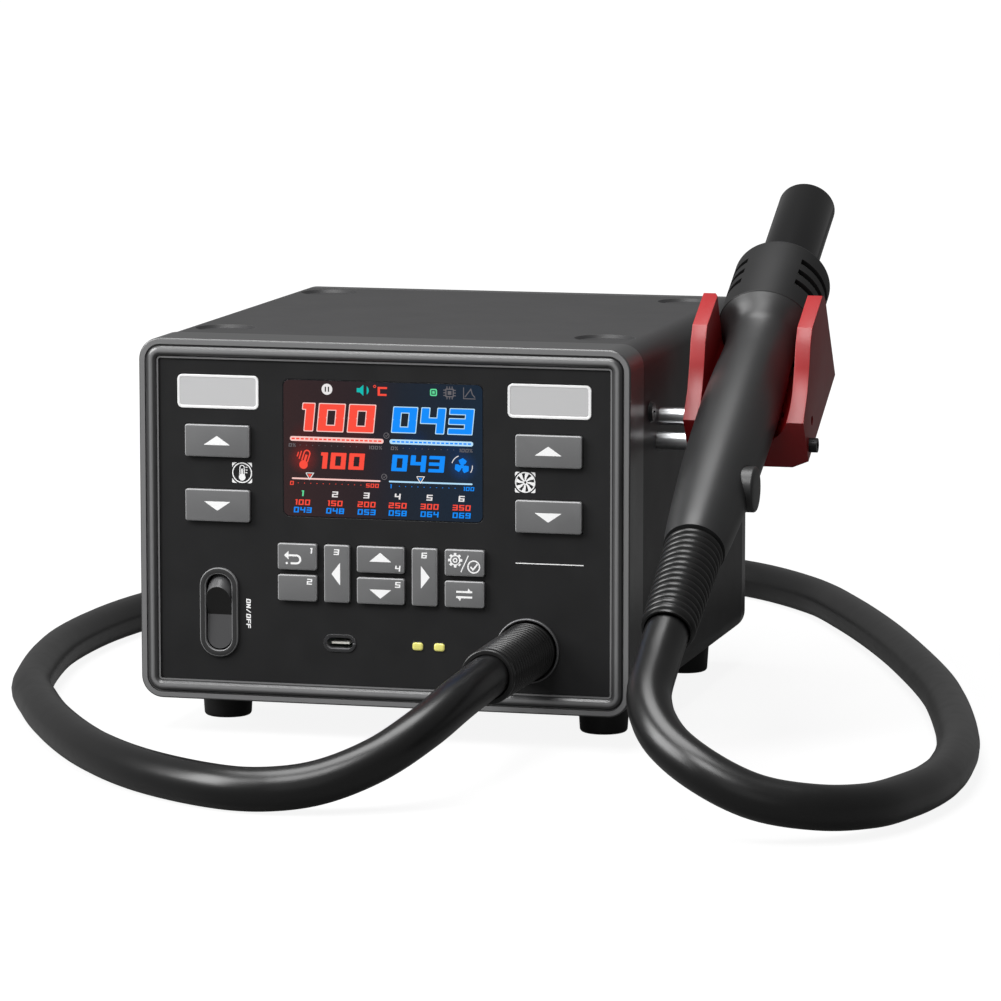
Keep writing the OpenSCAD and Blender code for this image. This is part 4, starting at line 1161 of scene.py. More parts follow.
@dataclass
class KeyPad:
    """The grey keys with their rounded caps and white print."""

    numerals: Numerals
    flange: float = 0.6
    flange_back: float = 1.4
    corner: float = 0.9
    edge: float = 0.55
    depth: float = 5.0
    number_height: float = 2.2
    keys: tuple[Key, ...] = (
        Key("temp_up_key", Icon.UP, (0, 0.2), (10.4, 3.5)),
        Key("temp_down_key", Icon.DOWN, (0, -0.2), (10.4, 3.5)),
        Key("air_up_key", Icon.UP, (0, 0.2), (10.4, 3.5)),
        Key("air_down_key", Icon.DOWN, (0, -0.2), (10.4, 3.5)),
        Key("channel_key_upper", Icon.RETURN, (-1.8, -0.8), (6.2, 4.4), "1", (5.6, 2.5)),
        Key("channel_key_lower", Icon.BARE, number="2", number_at=(4.9, 2.6)),
        Key("left_key", Icon.LEFT, (-0.3, 0), (8.7, 3.4), "3", (0, 8.3)),
        Key("up_key", Icon.UP, (0, 1), (8.6, 3.5), "4", (6.8, -3)),
        Key("down_key", Icon.DOWN, (0, -1.1), (8.6, 3.4), "5", (6.8, 2.7)),
        Key("right_key", Icon.RIGHT, (0.4, 0), (8.7, 3.4), "6", (0, 8.3)),
        Key("set_key", Icon.SETTINGS),
        Key("swap_key", Icon.SWAP),
    )

    def build(self) -> None:
        """Makes every key and its print."""
        for key in self.keys:
            front = front_of(key.node)
            cap = settle(self.cap(f"{key.node}_cap", front.w - 2 * self.flange,
                                  front.h - 2 * self.flange), front.at())
            dressed(soften(cap, 30), KEY_PLASTIC, key.node, [key.node])
            # the rounded edge of each cap is painted lighter: a painted highlight
            limit = (front.y + 0.9 * self.edge) * MM
            paint_light_on_faces(cap, KEY_EDGE_HIGHLIGHT, lambda face: face.normal.y > -0.97 and face.center.y < limit)
            sign = self.print_for(key)
            if sign is not None:
                printed(sign, front.at(0.03))
                dressed(sign, PRINT_WHITE, key.node)

    def cap(self, name: str, w: float, h: float) -> Piece:
        """Shapes one cap with its face at height 0: a block with a lip and a stem behind.

        Args:
            name: Its name.
            w: Width of the cap.
            h: Height of the cap.

        Returns:
            The new object.
        """
        obj = blank(name, w, h, self.corner, 5)
        with editing(obj):
            z = 0.0
            for drop, grow in ((self.depth, 0), (0, self.flange), (self.flange_back, 0)):
                z -= drop
                pull(-drop)
                bpy.ops.transform.resize(value=((w + 2 * grow) / w, (h + 2 * grow) / h, 1),
                                         center_override=(0, 0, z * MM))
                w, h = w + 2 * grow, h + 2 * grow
            seal()
        pick_faces(obj, lambda face: face.normal.z > 0.9 and face.center.z > -0.1 * MM)
        bpy.ops.mesh.bevel(offset=self.edge * MM, segments=4, affect="EDGES")
        finish_edit()
        return obj

    def print_for(self, key: Key) -> Piece | None:
        """Draws what is printed on a key.

        Args:
            key: The key.

        Returns:
            The drawing, or None for a bare key.
        """
        parts = []
        if key.number:
            parts += self.numerals.line(key.number, key.number_at, self.number_height)
        drawn = self.icon(key)
        if drawn is not None:
            parts.append(drawn)
        return joined(f"{key.node}_print", parts) if parts else None

    def icon(self, key: Key) -> Piece | None:
        """Draws a key's icon.

        Args:
            key: The key.

        Returns:
            The drawing, or None where it has no icon.
        """
        if key.icon is Icon.BARE:
            return None
        sheet = Sheet(f"{key.node}_icon")
        (x, y), (w, h) = key.at, key.size
        if key.icon in (Icon.UP, Icon.DOWN):
            s = 1 if key.icon is Icon.UP else -1
            sheet.patch([(x - w / 2, y - s * h / 2), (x + w / 2, y - s * h / 2),
                         (x, y + s * h / 2)], 0.3)
        elif key.icon in (Icon.LEFT, Icon.RIGHT):
            s = 1 if key.icon is Icon.RIGHT else -1
            sheet.patch([(x - s * h / 2, y - w / 2), (x - s * h / 2, y + w / 2),
                         (x + s * h / 2, y)], 0.3)
        elif key.icon is Icon.RETURN:
            turn = arc(x + w / 2 - 1.5, y - 0.2, 1.5, 90, -90, 10)
            sheet.stroke([(x - w / 2 + 1, y + 1.3), *turn, (x - w / 2 + 2.4, y - 1.7)], 0.75)
            sheet.patch([(x - w / 2 - 0.2, y + 1.3), (x - w / 2 + 1.6, y + 2.9),
                         (x - w / 2 + 1.6, y - 0.3)], 0.15)
            sheet.disc((x - w / 2 + 0.9, y - 1.7), 0.45, 16)
        elif key.icon is Icon.SETTINGS:
            self.gear(sheet, (-3.5, 1))
            sheet.bar((1.6, 2.9), (-1.3, -3.4), 0.42)
            sheet.ring((3.7, -1.3), 2.5, 0.5)
            sheet.stroke([(2.4, -1.3), (3.4, -2.4), (5.1, -0.2)], 0.6)
        elif key.icon is Icon.SWAP:
            for s in (1, -1):
                sheet.bar((-3.1, s * 1), (3.1, s * 1), 0.75)
                sheet.patch([(s * 3.1, s * 0.63), (s * 1.6, s * 2.4), (s * 1.2, s * 1.2)])
        return sheet.close()

    def gear(self, sheet: Sheet, at: Flat) -> None:
        """Draws a small toothed wheel.

        Args:
            sheet: The open sheet.
            at: Its middle.
        """
        sheet.ring(at, 2.05, 0.5)
        sheet.ring(at, 0.95, 0.45, 20)
        for i in range(8):
            a = math.pi * i / 4
            c, s = math.cos(a), math.sin(a)
            sheet.bar((at[0] + 1.8 * c, at[1] + 1.8 * s),
                      (at[0] + 2.75 * c, at[1] + 2.75 * s), 0.95)


# ---------------------------------------------------------------- display


@dataclass(frozen=True)
class Channel:
    """One half of the display: a large number, its bar, its scale and its presets.

    The ends of the scale are texts and where they stand. The cells of the bar are a count, a
    start, a pitch and a width, and the dots of the scale a count, a start and a pitch.
    """

    number: str
    x: float
    height: float
    bar: float
    slide: float
    target_x: float
    presets: tuple[str, ...]
    preset_z: float
    ends: tuple[tuple[str, float], ...]
    cells: tuple[int, float, float, float]
    dots: tuple[int, float, float]
    mark: tuple[Flat, ...]


@dataclass
class Display:
    """The lit display behind its black window."""

    large: Numerals
    small: Numerals
    front: Front = field(default_factory=lambda: front_of("display_window"))
    red: Glow = Glow("display_red", (1.0, 0.075, 0.045))
    blue: Glow = Glow("display_blue", (0.0, 0.27, 1.0))
    white: Glow = Glow("display_white", (0.85, 0.82, 0.82))
    pink: Glow = Glow("display_pink", (1.0, 0.62, 0.58))
    ice: Glow = Glow("display_ice", (0.5, 0.78, 1.0))
    grey: Glow = Glow("display_grey", (0.14, 0.13, 0.14))
    green: Glow = Glow("display_green", (0.12, 0.72, 0.33))
    teal: Glow = Glow("display_teal", (0.0, 0.5, 0.45))
    dark: Glow = Glow("display_dark", (0.02, 0.02, 0.02))
    black: tuple[float, ...] = (0.004, 0.004, 0.005, 1)
    columns: tuple[float, ...] = (-31.3, -18.6, -6.3, 5.8, 18.2, 30.6)
    heat: Channel = Channel(
        "100", -17.3, 10.2, 36.6, 34.6, -15.7, ("100", "150", "200", "250", "300", "350"), -20.5,
        (("0", -35.5), ("500", -4)), (20, -34.9, 1.78, 1.3), (11, -33, 2.45),
        ((-29.3, -9.7), (-27.7, -9.7), (-28.5, -11)))
    flow: Channel = Channel(
        "043", 19.5, 9.4, 32.4, 32.4, 13.8, ("043", "048", "053", "058", "064", "069"), -23.4,
        (("1", 3.2), ("100", 33.4)), (18, 4.4, 1.72, 1.25), (10, 6.5, 2.4),
        ((14, -9.8), (15.4, -9.8), (14.7, -10.9)))
    number_z: float = 11.9
    target_z: float = -4.4
    target_height: float = 6.2
    bar_z: float = 3.6
    scale_z: float = -13.3
    head_z: float = -17.1
    sign_z: float = 22.6
    thermometer_at: Flat = (-30.2, -4)
    thermometer_lean: float = -18
    fan_at: Flat = (30.8, -4.8)
    glows: tuple[tuple[float, float, float, tuple[float, ...]], ...] = (
        (-30.8, -4, 7, (0.35, 0.02, 0.015, 1)), (30.8, -5, 7, (0.0, 0.07, 0.3, 1)),
        (-30, 3.7, 8, (0.12, 0.01, 0.01, 1)), (-10, 3.7, 8, (0.1, 0.01, 0.01, 1)),
        (12, 3.5, 8, (0.0, 0.03, 0.12, 1)), (28, 3.5, 8, (0.0, 0.03, 0.12, 1)),
    )

    def build(self) -> None:
        """Makes the lit ground and everything shown on it."""
        self.ground()
        self.show("display_red_outlines", self.pink, 0.05, self.outline(self.heat))
        self.show("display_blue_outlines", self.ice, 0.05, self.outline(self.flow))
        self.show("display_reds", self.red, 0.08, self.reds())
        self.show("display_blues", self.blue, 0.08, self.blues())
        self.show("display_whites", self.white, 0.08, self.whites())
        self.show("display_greys", self.grey, 0.05, self.greys())
        self.show("display_greens", self.green, 0.06, self.greens())
        self.show("display_teals", self.teal, 0.06, self.teals())
        pause = Sheet("pause_bars")
        pause.block((-22.2, self.sign_z), 0.5, 1.9).block((-21, self.sign_z), 0.5, 1.9)
        self.show("display_pause", self.dark, 0.1, [pause.close()])

    def show(self, name: str, light: Glow, rise: float, parts: list[Piece]) -> None:
        """Joins drawings of one colour and puts them on the window.

        Args:
            name: The piece's name.
            light: Its colour.
            rise: Height over the window.
            parts: The drawings.
        """
        piece = printed(joined(name, parts), self.front.at(rise), 0.02)
        dressed(piece, light, "station")

    def ground(self) -> None:
        """Lays the dim ground, reddish on the left and blue on the right."""
        sheet = Sheet("display_ground")
        sheet.block((0, 0), self.front.w - 0.5, self.front.h - 0.5, 2.3)
        piece = printed(sheet.close(), self.front.at(0.02), 0.02)
        made, nodes = new_material("display_ground")
        where = nodes.add("TexCoord").outputs["Object"]
        x = nodes.add("SeparateXYZ", {0: where}).outputs[0]
        across = nodes.add("MapRange", {0: x, 1: -0.039, 2: 0.039}).outputs[0]
        ramp = nodes.add("ValToRGB", {0: across})
        stops = ramp.color_ramp.elements
        stops[0].color, stops[1].color = (0.046, 0.02, 0.019, 1), (0.006, 0.023, 0.05, 1)
        for at, colour in ((0.4, (0.03, 0.017, 0.02, 1)), (0.6, (0.012, 0.02, 0.034, 1))):
            stops.new(at).color = colour
        lit = ramp.outputs[0]
        for u, v, r, colour in self.glows:
            spot = self.front.at() @ Vector((u * MM, v * MM, 0))
            away = nodes.add("VectorMath", {0: where, 1: spot}, operation="DISTANCE").outputs[1]
            fade = nodes.add("MapRange", {0: away, 1: 0.0, 2: r * MM, 3: 1.0, 4: 0.0},
                             interpolation_type="SMOOTHSTEP").outputs[0]
            lit = nodes.blend(nodes.maths("MULTIPLY", fade, 0.6), lit, colour)
        grid = nodes.place(dot_group(), Vector=where, Pitch=DOT_PITCH)
        lit = nodes.blend(grid.outputs["Mask"], self.black, lit)
        nodes.shade({"Emission Color": lit, "Emission Strength": 0.9, "Base Color": self.black,
                     "Roughness": 0.15, "Specular IOR Level": 0.25})
        piece.data.materials.append(made)
        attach(piece, "station")
        LOG.info("made display_ground")

    def outline(self, shown: Channel) -> list[Piece]:
        """Draws what lies pale behind a large number, the bar under it and its slider.

        Args:
            shown: The half of the display.

        Returns:
            The drawings.
        """
        sheet = Sheet("bar")
        sheet.block((shown.x - 0.6, self.bar_z), shown.bar, 1.8, 0.88)
        slide = Sheet("slide")
        slide.block((shown.x - 0.9, -11.5), shown.slide, 0.6, 0.29)
        return [*self.large.line(shown.number, (shown.x, self.number_z), shown.height, halo=True),
                sheet.close(), slide.close()]

    def channel(self, shown: Channel, name: str) -> tuple[list[Piece], Sheet]:
        """Draws what both halves have: numbers, bar, scale and marker.

        Args:
            shown: The half of the display.
            name: Name of the sheet with its marks.

        Returns:
            The numbers, and the sheet, which is still open.
        """
        large, small = self.large.line, self.small.line
        parts = [*large(shown.number, (shown.x, self.number_z), shown.height),
                 *large(shown.number, (shown.target_x, self.target_z), self.target_height)]
        for x, preset in zip(self.columns, shown.presets):
            parts += small(preset, (x, shown.preset_z), 2.1)
        for text, x in shown.ends:
            parts += small(text, (x, self.scale_z), 1.5)
        sheet = Sheet(name)
        count, x, pitch, wide = shown.cells
        for i in range(count):
            sheet.block((x + pitch * i, self.bar_z), wide, 0.6, 0.15)
        count, x, pitch = shown.dots
        for i in range(count):
            sheet.disc((x + pitch * i, self.scale_z + 0.1), 0.17, 8)
        sheet.patch(shown.mark)
        return parts, sheet

    def reds(self) -> list[Piece]:
        """Draws the red half, with its thermometer and its C with a degree sign.

        Returns:
            The drawings.
        """
        parts, sheet = self.channel(self.heat, "red_marks")
        lean = Matrix.Rotation(math.radians(self.thermometer_lean), 2)

        def at(u: float, v: float) -> Flat:
            """Leans a point of the thermometer about its middle."""
            return tuple(Vector(self.thermometer_at) + lean @ Vector((u, v)))

        sheet.stroke([at(1.15, -1), *(at(*p) for p in arc(0, 2.2, 1.15, 0, 180, 8)),
                      at(-1.15, -1)], 0.5)
        sheet.disc(at(0, -2.3), 1.65, 24)
        sheet.bar(at(0, -2), at(0, 1.7), 0.85)
        sheet.bar(at(-2.3, 2.4), at(-2.3, -0.8), 0.42)
        sheet.bar(at(-3.3, 1.6), at(-3.3, -0.2), 0.42)
        sheet.block((-1.4, 22.4), 0.9, 3.3).block((0.1, 23.7), 3.4, 0.75)
        sheet.block((-0.1, 21.1), 3.4, 0.75)
        drawn = sheet.close()
        degree = Sheet("degree")
        degree.ring((-3, 24.2), 0.55, 0.25, 16)
        return [*parts, drawn, degree.close()]

    def blues(self) -> list[Piece]:
        """Draws the blue half, with its fan.

        Returns:
            The drawings.
        """
        parts, sheet = self.channel(self.flow, "blue_marks")
        x, z = self.fan_at
        for i in range(3):
            a = math.radians(90 + 120 * i)
            sheet.patch([(x + r * math.cos(a + t), z + r * math.sin(a + t))
                         for r, t in ((0.3, 0.0), (1.7, -0.95), (2.7, -0.75), (3.1, -0.1),
                                      (2.6, 0.55), (1.2, 0.75))], 0.2)
        sheet.disc(self.fan_at, 0.8, 16)
        return [*parts, sheet.close()]

    def whites(self) -> list[Piece]:
        """Draws the headings, the sliders' marks, the fan's arcs and the pause sign's disc.

        Returns:
            The drawings.
        """
        parts = []
        for i, x in enumerate(self.columns[1:]):
            parts += self.small.line(str(i + 2), (x, self.head_z), 2.2, stretch=1.1)
        sheet = Sheet("white_marks")
        for x in (-28.5, 14.7):
            sheet.stroke([(x - 1.5, -9.3), (x + 1.5, -9.3), (x, -11.7), (x - 1.4, -9.5)], 0.3)
        for a0, a1 in ((110, 165), (-35, 5)):
            sheet.stroke(arc(*self.fan_at, 4, a0, a1, 8), 0.3)
        sheet.disc((-21.6, self.sign_z), 2.1)
        return [*parts, sheet.close()]

    def greys(self) -> list[Piece]:
        """Draws the dim scales, the clocks and the signs that are off.

        Returns:
            The drawings.
        """
        parts = []
        for text, x in (("0%", -35.3), ("100%", -2.8), ("0%", 4.6), ("100%", 32.3)):
            parts += self.small.line(text, (x, 1.1), 1.3)
        sheet = Sheet("grey_marks")
        for x0 in (-32.2, 8):
            for i in range(10):
                sheet.disc((x0 + 2.45 * i, 1.2), 0.16, 8)
        for x, y in ((1.5, 5.8), (0.6, -9.8)):
            sheet.ring((x, y), 1.15, 0.25, 20)
            sheet.stroke([(x - 0.5, y), (x, y - 0.3), (x + 0.8, y + 0.8)], 0.22)
        chip = 26
        sheet.block((chip, self.sign_z), 3.2, 3.2, 0.3).hollow(0.4)
        sheet.block((chip, self.sign_z), 1.4, 1.4)
        for i in (-1, 0, 1):
            for u, v, w, h in ((i, 2, 0.35, 0.8), (i, -2, 0.35, 0.8), (2, i, 0.8, 0.35),
                               (-2, i, 0.8, 0.35)):
                sheet.block((chip + u, self.sign_z + v), w, h)
        sheet.stroke([(31.4, 24.8), (31.4, 20.6), (36, 20.6)], 0.3)
        sheet.stroke([(31.9, 21.2), (33.2, 22.9), (34.2, 24.2), (34.8, 22.2), (35.8, 21.1)], 0.35)
        return [*parts, sheet.close()]

    def greens(self) -> list[Piece]:
        """Draws the green sign and the first heading.

        Returns:
            The drawings.
        """
        sheet = Sheet("green_marks")
        sheet.block((19.8, self.sign_z), 2.7, 2.7, 0.6).hollow(0.5)
        sheet.block((19.8, self.sign_z), 1, 1, 0.2)
        return [*self.small.line("1", (self.columns[0], self.head_z), 2.2, stretch=1.1),
                sheet.close()]

    def teals(self) -> list[Piece]:
        """Draws the loudspeaker.

        Returns:
            The drawings.
        """
        sheet = Sheet("speaker")
        sheet.patch([(-10, 21.8), (-10, 23.4), (-8.8, 23.4), (-7.4, 24.7), (-7.4, 20.5),
                     (-8.8, 21.8)], 0.15)
        sheet.patch(arc(-7.2, self.sign_z, 1.9, -55, 55, 8))
        return [sheet.close()]


# ---------------------------------------------------------------- front trim


@dataclass
class FrontTrim:
    """The bare plates and the white print on the front."""

    numerals: Numerals
    face: float = field(default_factory=lambda: front_of("front_panel").y)
    plate_rim: float = 0.7
    plate_corner: float = 2.0
    print_x: float = 55.1
    print_z: float = 100.9
    word_spot: Flat = (-52.9, 47.2)
    rule: tuple[float, float, float] = (51.5, 77.5, 70.4)

    def build(self) -> None:
        """Makes the plates and the print."""
        for node in ("plate_left", "plate_right"):
            self.plate(node)
        self.lay(self.thermometer(), (-self.print_x, self.print_z), "thermometer_print")
        self.lay(self.fan(), (self.print_x, self.print_z), "fan_print")
        line = Sheet("rule")
        line.bar((self.rule[0], 0), (self.rule[1], 0), 0.35)
        self.lay(line.close(), (0, self.rule[2]), "rule_print")
        self.switch_words()

    def lay(self, drawn: Piece, at: Flat, name: str) -> None:
        """Lays a drawing on the panel in white.

        Args:
            drawn: The drawing.
            at: Its place on the panel, in the frame's X and Z.
            name: The piece's name.
        """
        drawn.name = name
        printed(drawn, shift(at[0], self.face - 0.03, at[1]) @ FRONT)
        dressed(drawn, PRINT_WHITE, "station")

    def plate(self, node: str) -> None:
        """Presses one plate: a rounded rim and a face sunk a little in it.

        Args:
            node: The CAD node that it stands for.
        """
        front = front_of(node)
        obj = blank(f"{node}_pressed", front.w, front.h, self.plate_corner, 8)
        with editing(obj):
            pull(0.62)
            for width, depth in ((0.15, 0.15), (self.plate_rim, 0), (0.2, -0.12)):
                bpy.ops.mesh.inset(thickness=width * MM, depth=depth * MM)
            seal()
        settle(obj, front.at(0.03 - front.depth))
        dressed(soften(obj, 30), SILVER, "station", [node])

        def on_rim(face: Face) -> bool:
            """Says whether a face belongs to the rim.

            Args:
                face: The face.

            Returns:
                Whether it lies near the plate's edge.
            """
            r = self.plate_corner
            dx = front.w / 2 - abs(face.center.x / MM - front.x)
            dz = front.h / 2 - abs(face.center.z / MM - front.z)
            corner = r - math.hypot(max(0, r - dx), max(0, r - dz))
            return min(dx, dz, corner) < self.plate_rim + 0.3

        # the rim is painted near white: a painted highlight
        paint_light_on_faces(obj, SILVER_RIM_HIGHLIGHT, on_rim)

    def framed(self, name: str) -> Sheet:
        """Starts a sign: a ring with the four corners of a square round it.

        Args:
            name: The sign's name.

        Returns:
            The open sheet.
        """
        sheet = Sheet(name)
        sheet.ring((0, 0), 3.9, 0.42, 40)
        corner = [(3.3, 3.9), (3.8, 3.8), (3.9, 3.3), (3.9, 2.1), *arc(0, 0, 4.4, 29, 61, 5),
                  (2.1, 3.9)]
        for sx, sy in ((1, 1), (1, -1), (-1, 1), (-1, -1)):
            sheet.patch([(sx * x, sy * y) for x, y in corner])
        return sheet

    def thermometer(self) -> Piece:
        """Draws a thermometer in its sign.

        Returns:
            The drawing.
        """
        sheet = self.framed("thermometer")
        sheet.stroke([(0.85, -0.9), *arc(0, 2, 0.85, 0, 180, 8), (-0.85, -0.9)], 0.36)
        sheet.disc((0, -1.7), 1.3, 24)
        sheet.block((0, 0), 0.62, 3)
        for z in (0.1, 1.1, 2.1):
            sheet.block((1.75, z), 0.75, 0.32)
        return sheet.close()

    def fan(self) -> Piece:
        """Draws a fan in its sign.

        Returns:
            The drawing.
        """
        sheet = self.framed("fan")
        for i in range(8):
            a = math.pi * i / 4
            sheet.patch([(r * math.cos(a + t), r * math.sin(a + t))
                         for r, t in ((0.5, -0.5), (1.9, -0.3), (3.55, -0.42), (3.6, -0.2),
                                      (3.5, 0.0), (2.0, 0.12), (0.5, 0.35))])
        return sheet.close()

    def switch_words(self) -> None:
        """Sets ON/OFF beside the rocker, reading downwards."""
        words = joined("switch_words", self.numerals.line("ON/OFF", (0, 0), 1.75, stretch=0.94))
        settle(words, Matrix.Rotation(math.radians(-90), 4, "Z"))
        self.lay(words, self.word_spot, "switch_words")


# ---------------------------------------------------------------- rocker, port and lenses


def aside(face: Face) -> bool:
    """Says whether a face looks away from the front."""
    return face.normal.y > -0.98


@dataclass
class Rocker:
    """The rocker switch: a rounded bezel and a paddle whose raised end is rolled over."""

    wide: float = 15
    high: float = 34
    band: float = 2.4
    proud: float = 1.2
    sunk: float = 2.5
    axis_y: float = -103.3
    paddle_w: float = 9.6
    paddle_h: float = 28.6
    crease: Flat = (-105.2, -1)
    low: float = -105.8
    rise: float = 4.37
    roll_angle: float = 45
    roll_top: float = 11.0

    def build(self) -> None:
        """Makes the bezel and the paddle."""
        front = front_of("rocker_bezel")
        sheet = Sheet("rocker_surround")
        sheet.block((0, 0), self.wide, self.high, self.wide / 2 - 0.3).hollow(self.band)
        bezel = printed(sheet.close(), front.at(), self.proud + self.sunk)
        round_edges(bezel, 0.35)
        dressed(soften(bezel, 40), BEZEL_PLASTIC, "station", ["rocker_bezel"])
        # the bezel's sides are painted lighter: a painted highlight
        paint_light_on_faces(bezel, ROCKER_EDGE_HIGHLIGHT, aside)
        paddle = settle(self.paddle(), shift(front.x, 0, front.z))
        round_edges(paddle, 0.15, 2, 25)
        dressed(soften(paddle, 9), ROCKER_PLASTIC, "rocker", ["rocker_switch"])
        # the paddle's raised face, which tilts downwards, is painted black: painted shade
        paint_light_on_faces(paddle, BLACK_PLASTIC, lambda face: -0.5 < face.normal.z < -0.2
                and face.normal.y < -0.8 and face.center.z > front.z * MM)

    def paddle(self) -> Piece:
        """Turns the barrel, cuts the two faces and rolls the raised end over.

        Returns:
            The paddle, with its middle at x 0 and z 0.
        """
        half = self.paddle_w / 2
        body = turned("rocker_paddle", [
            (self.paddle_h / 2 - half + math.sqrt(max(0.0, half ** 2 - x ** 2)), x)
            for x in (half * math.sin(math.radians(a)) for a in range(-90, 91, 10))], 120)
        settle(body, shift(0, self.axis_y, 0) @ SIDE)
        (crease, z), high = self.crease, self.paddle_h / 2 + 1
        slope = (self.low - self.rise - crease) / (self.paddle_h / 2 - z)
        wedge = Sheet("wedge")
        wedge.patch([(crease, z), (crease + slope * (high - z), high), (-98, high), (-98, -high),
                     (self.low, -high)])
        cut = thicken(wedge.close(), 30)
        # drawing X and Y become the frame's Y and Z
        cut.data.transform(Matrix(((0, 0, 1, -15 * MM), (1, 0, 0, 0), (0, 1, 0, 0), (0, 0, 0, 1))))
        roll = Sheet("roll")
        roll.block((0, self.roll_top - 20), self.paddle_w + 0.02, 40, self.paddle_w / 2)
        end = thicken(roll.close(), 80)
        end.data.transform(shift(0, 0, -40))
        settle(end, shift(0, self.axis_y, 0)
               @ Matrix.Rotation(math.radians(self.roll_angle), 4, "X") @ FRONT)
        for part in (cut, end):
            carve(body, part, Cut.COMMON)
        return body


@dataclass
class Sockets:
    """The small parts of the lower front: the port's rim and the two lenses in their wells."""

    rim: float = 1.15
    lens_corner: float = 1.0
    lens_size: Flat = (4.1, 3.0)
    lens_places: tuple[float, ...] = (13.5, 21.9)

    def build(self) -> None:
        """Makes the port's rim and the lenses."""
        port = front_of("usb_shell")
        sheet = Sheet("port_rim")
        sheet.block((0, 0), port.w, port.h, port.h / 2 - 0.01).hollow(self.rim)
        rim = printed(sheet.close(), port.at(), port.depth)
        round_edges(rim, 0.3)
        dressed(soften(rim, 40), PORT_STEEL, "station", ["usb_shell"])
        # the rim's sides are painted lighter: a painted highlight
        paint_light_on_faces(rim, PORT_EDGE_HIGHLIGHT, aside)
        pair = front_of("indicator_lenses")
        w, h = self.lens_size
        for i, x in enumerate(self.lens_places):
            face = shift(x, pair.y, pair.z) @ FRONT
            well = Sheet(f"lens_well_{i + 1}")
            well.block((0, 0), w + 0.9, h + 0.9, self.lens_corner + 0.4)
            ring = printed(well.close(), face @ shift(0, 0, -0.42), 0.4)
            dressed(ring, BLACK_PLASTIC, "station")
            lens = settle(self.lens(f"lens_{i + 1}"), face @ shift(0, 0, -0.5))
            dressed(soften(lens, 50), LENS, "station",
                    ["indicator_lenses"] if i == 0 else [])

    def lens(self, name: str) -> Piece:
        """Shapes one lens with a crowned face.

        Args:
            name: Its name.

        Returns:
            The new object.
        """
        obj = blank(name, *self.lens_size, self.lens_corner, 6)
        with editing(obj):
            pull(0.1)
            for width, depth in ((0.12, 0.18), (0.25, 0.14), (0.35, 0.07)):
                bpy.ops.mesh.inset(thickness=width * MM, depth=depth * MM)
            seal()
        return obj


# ---------------------------------------------------------------- handset


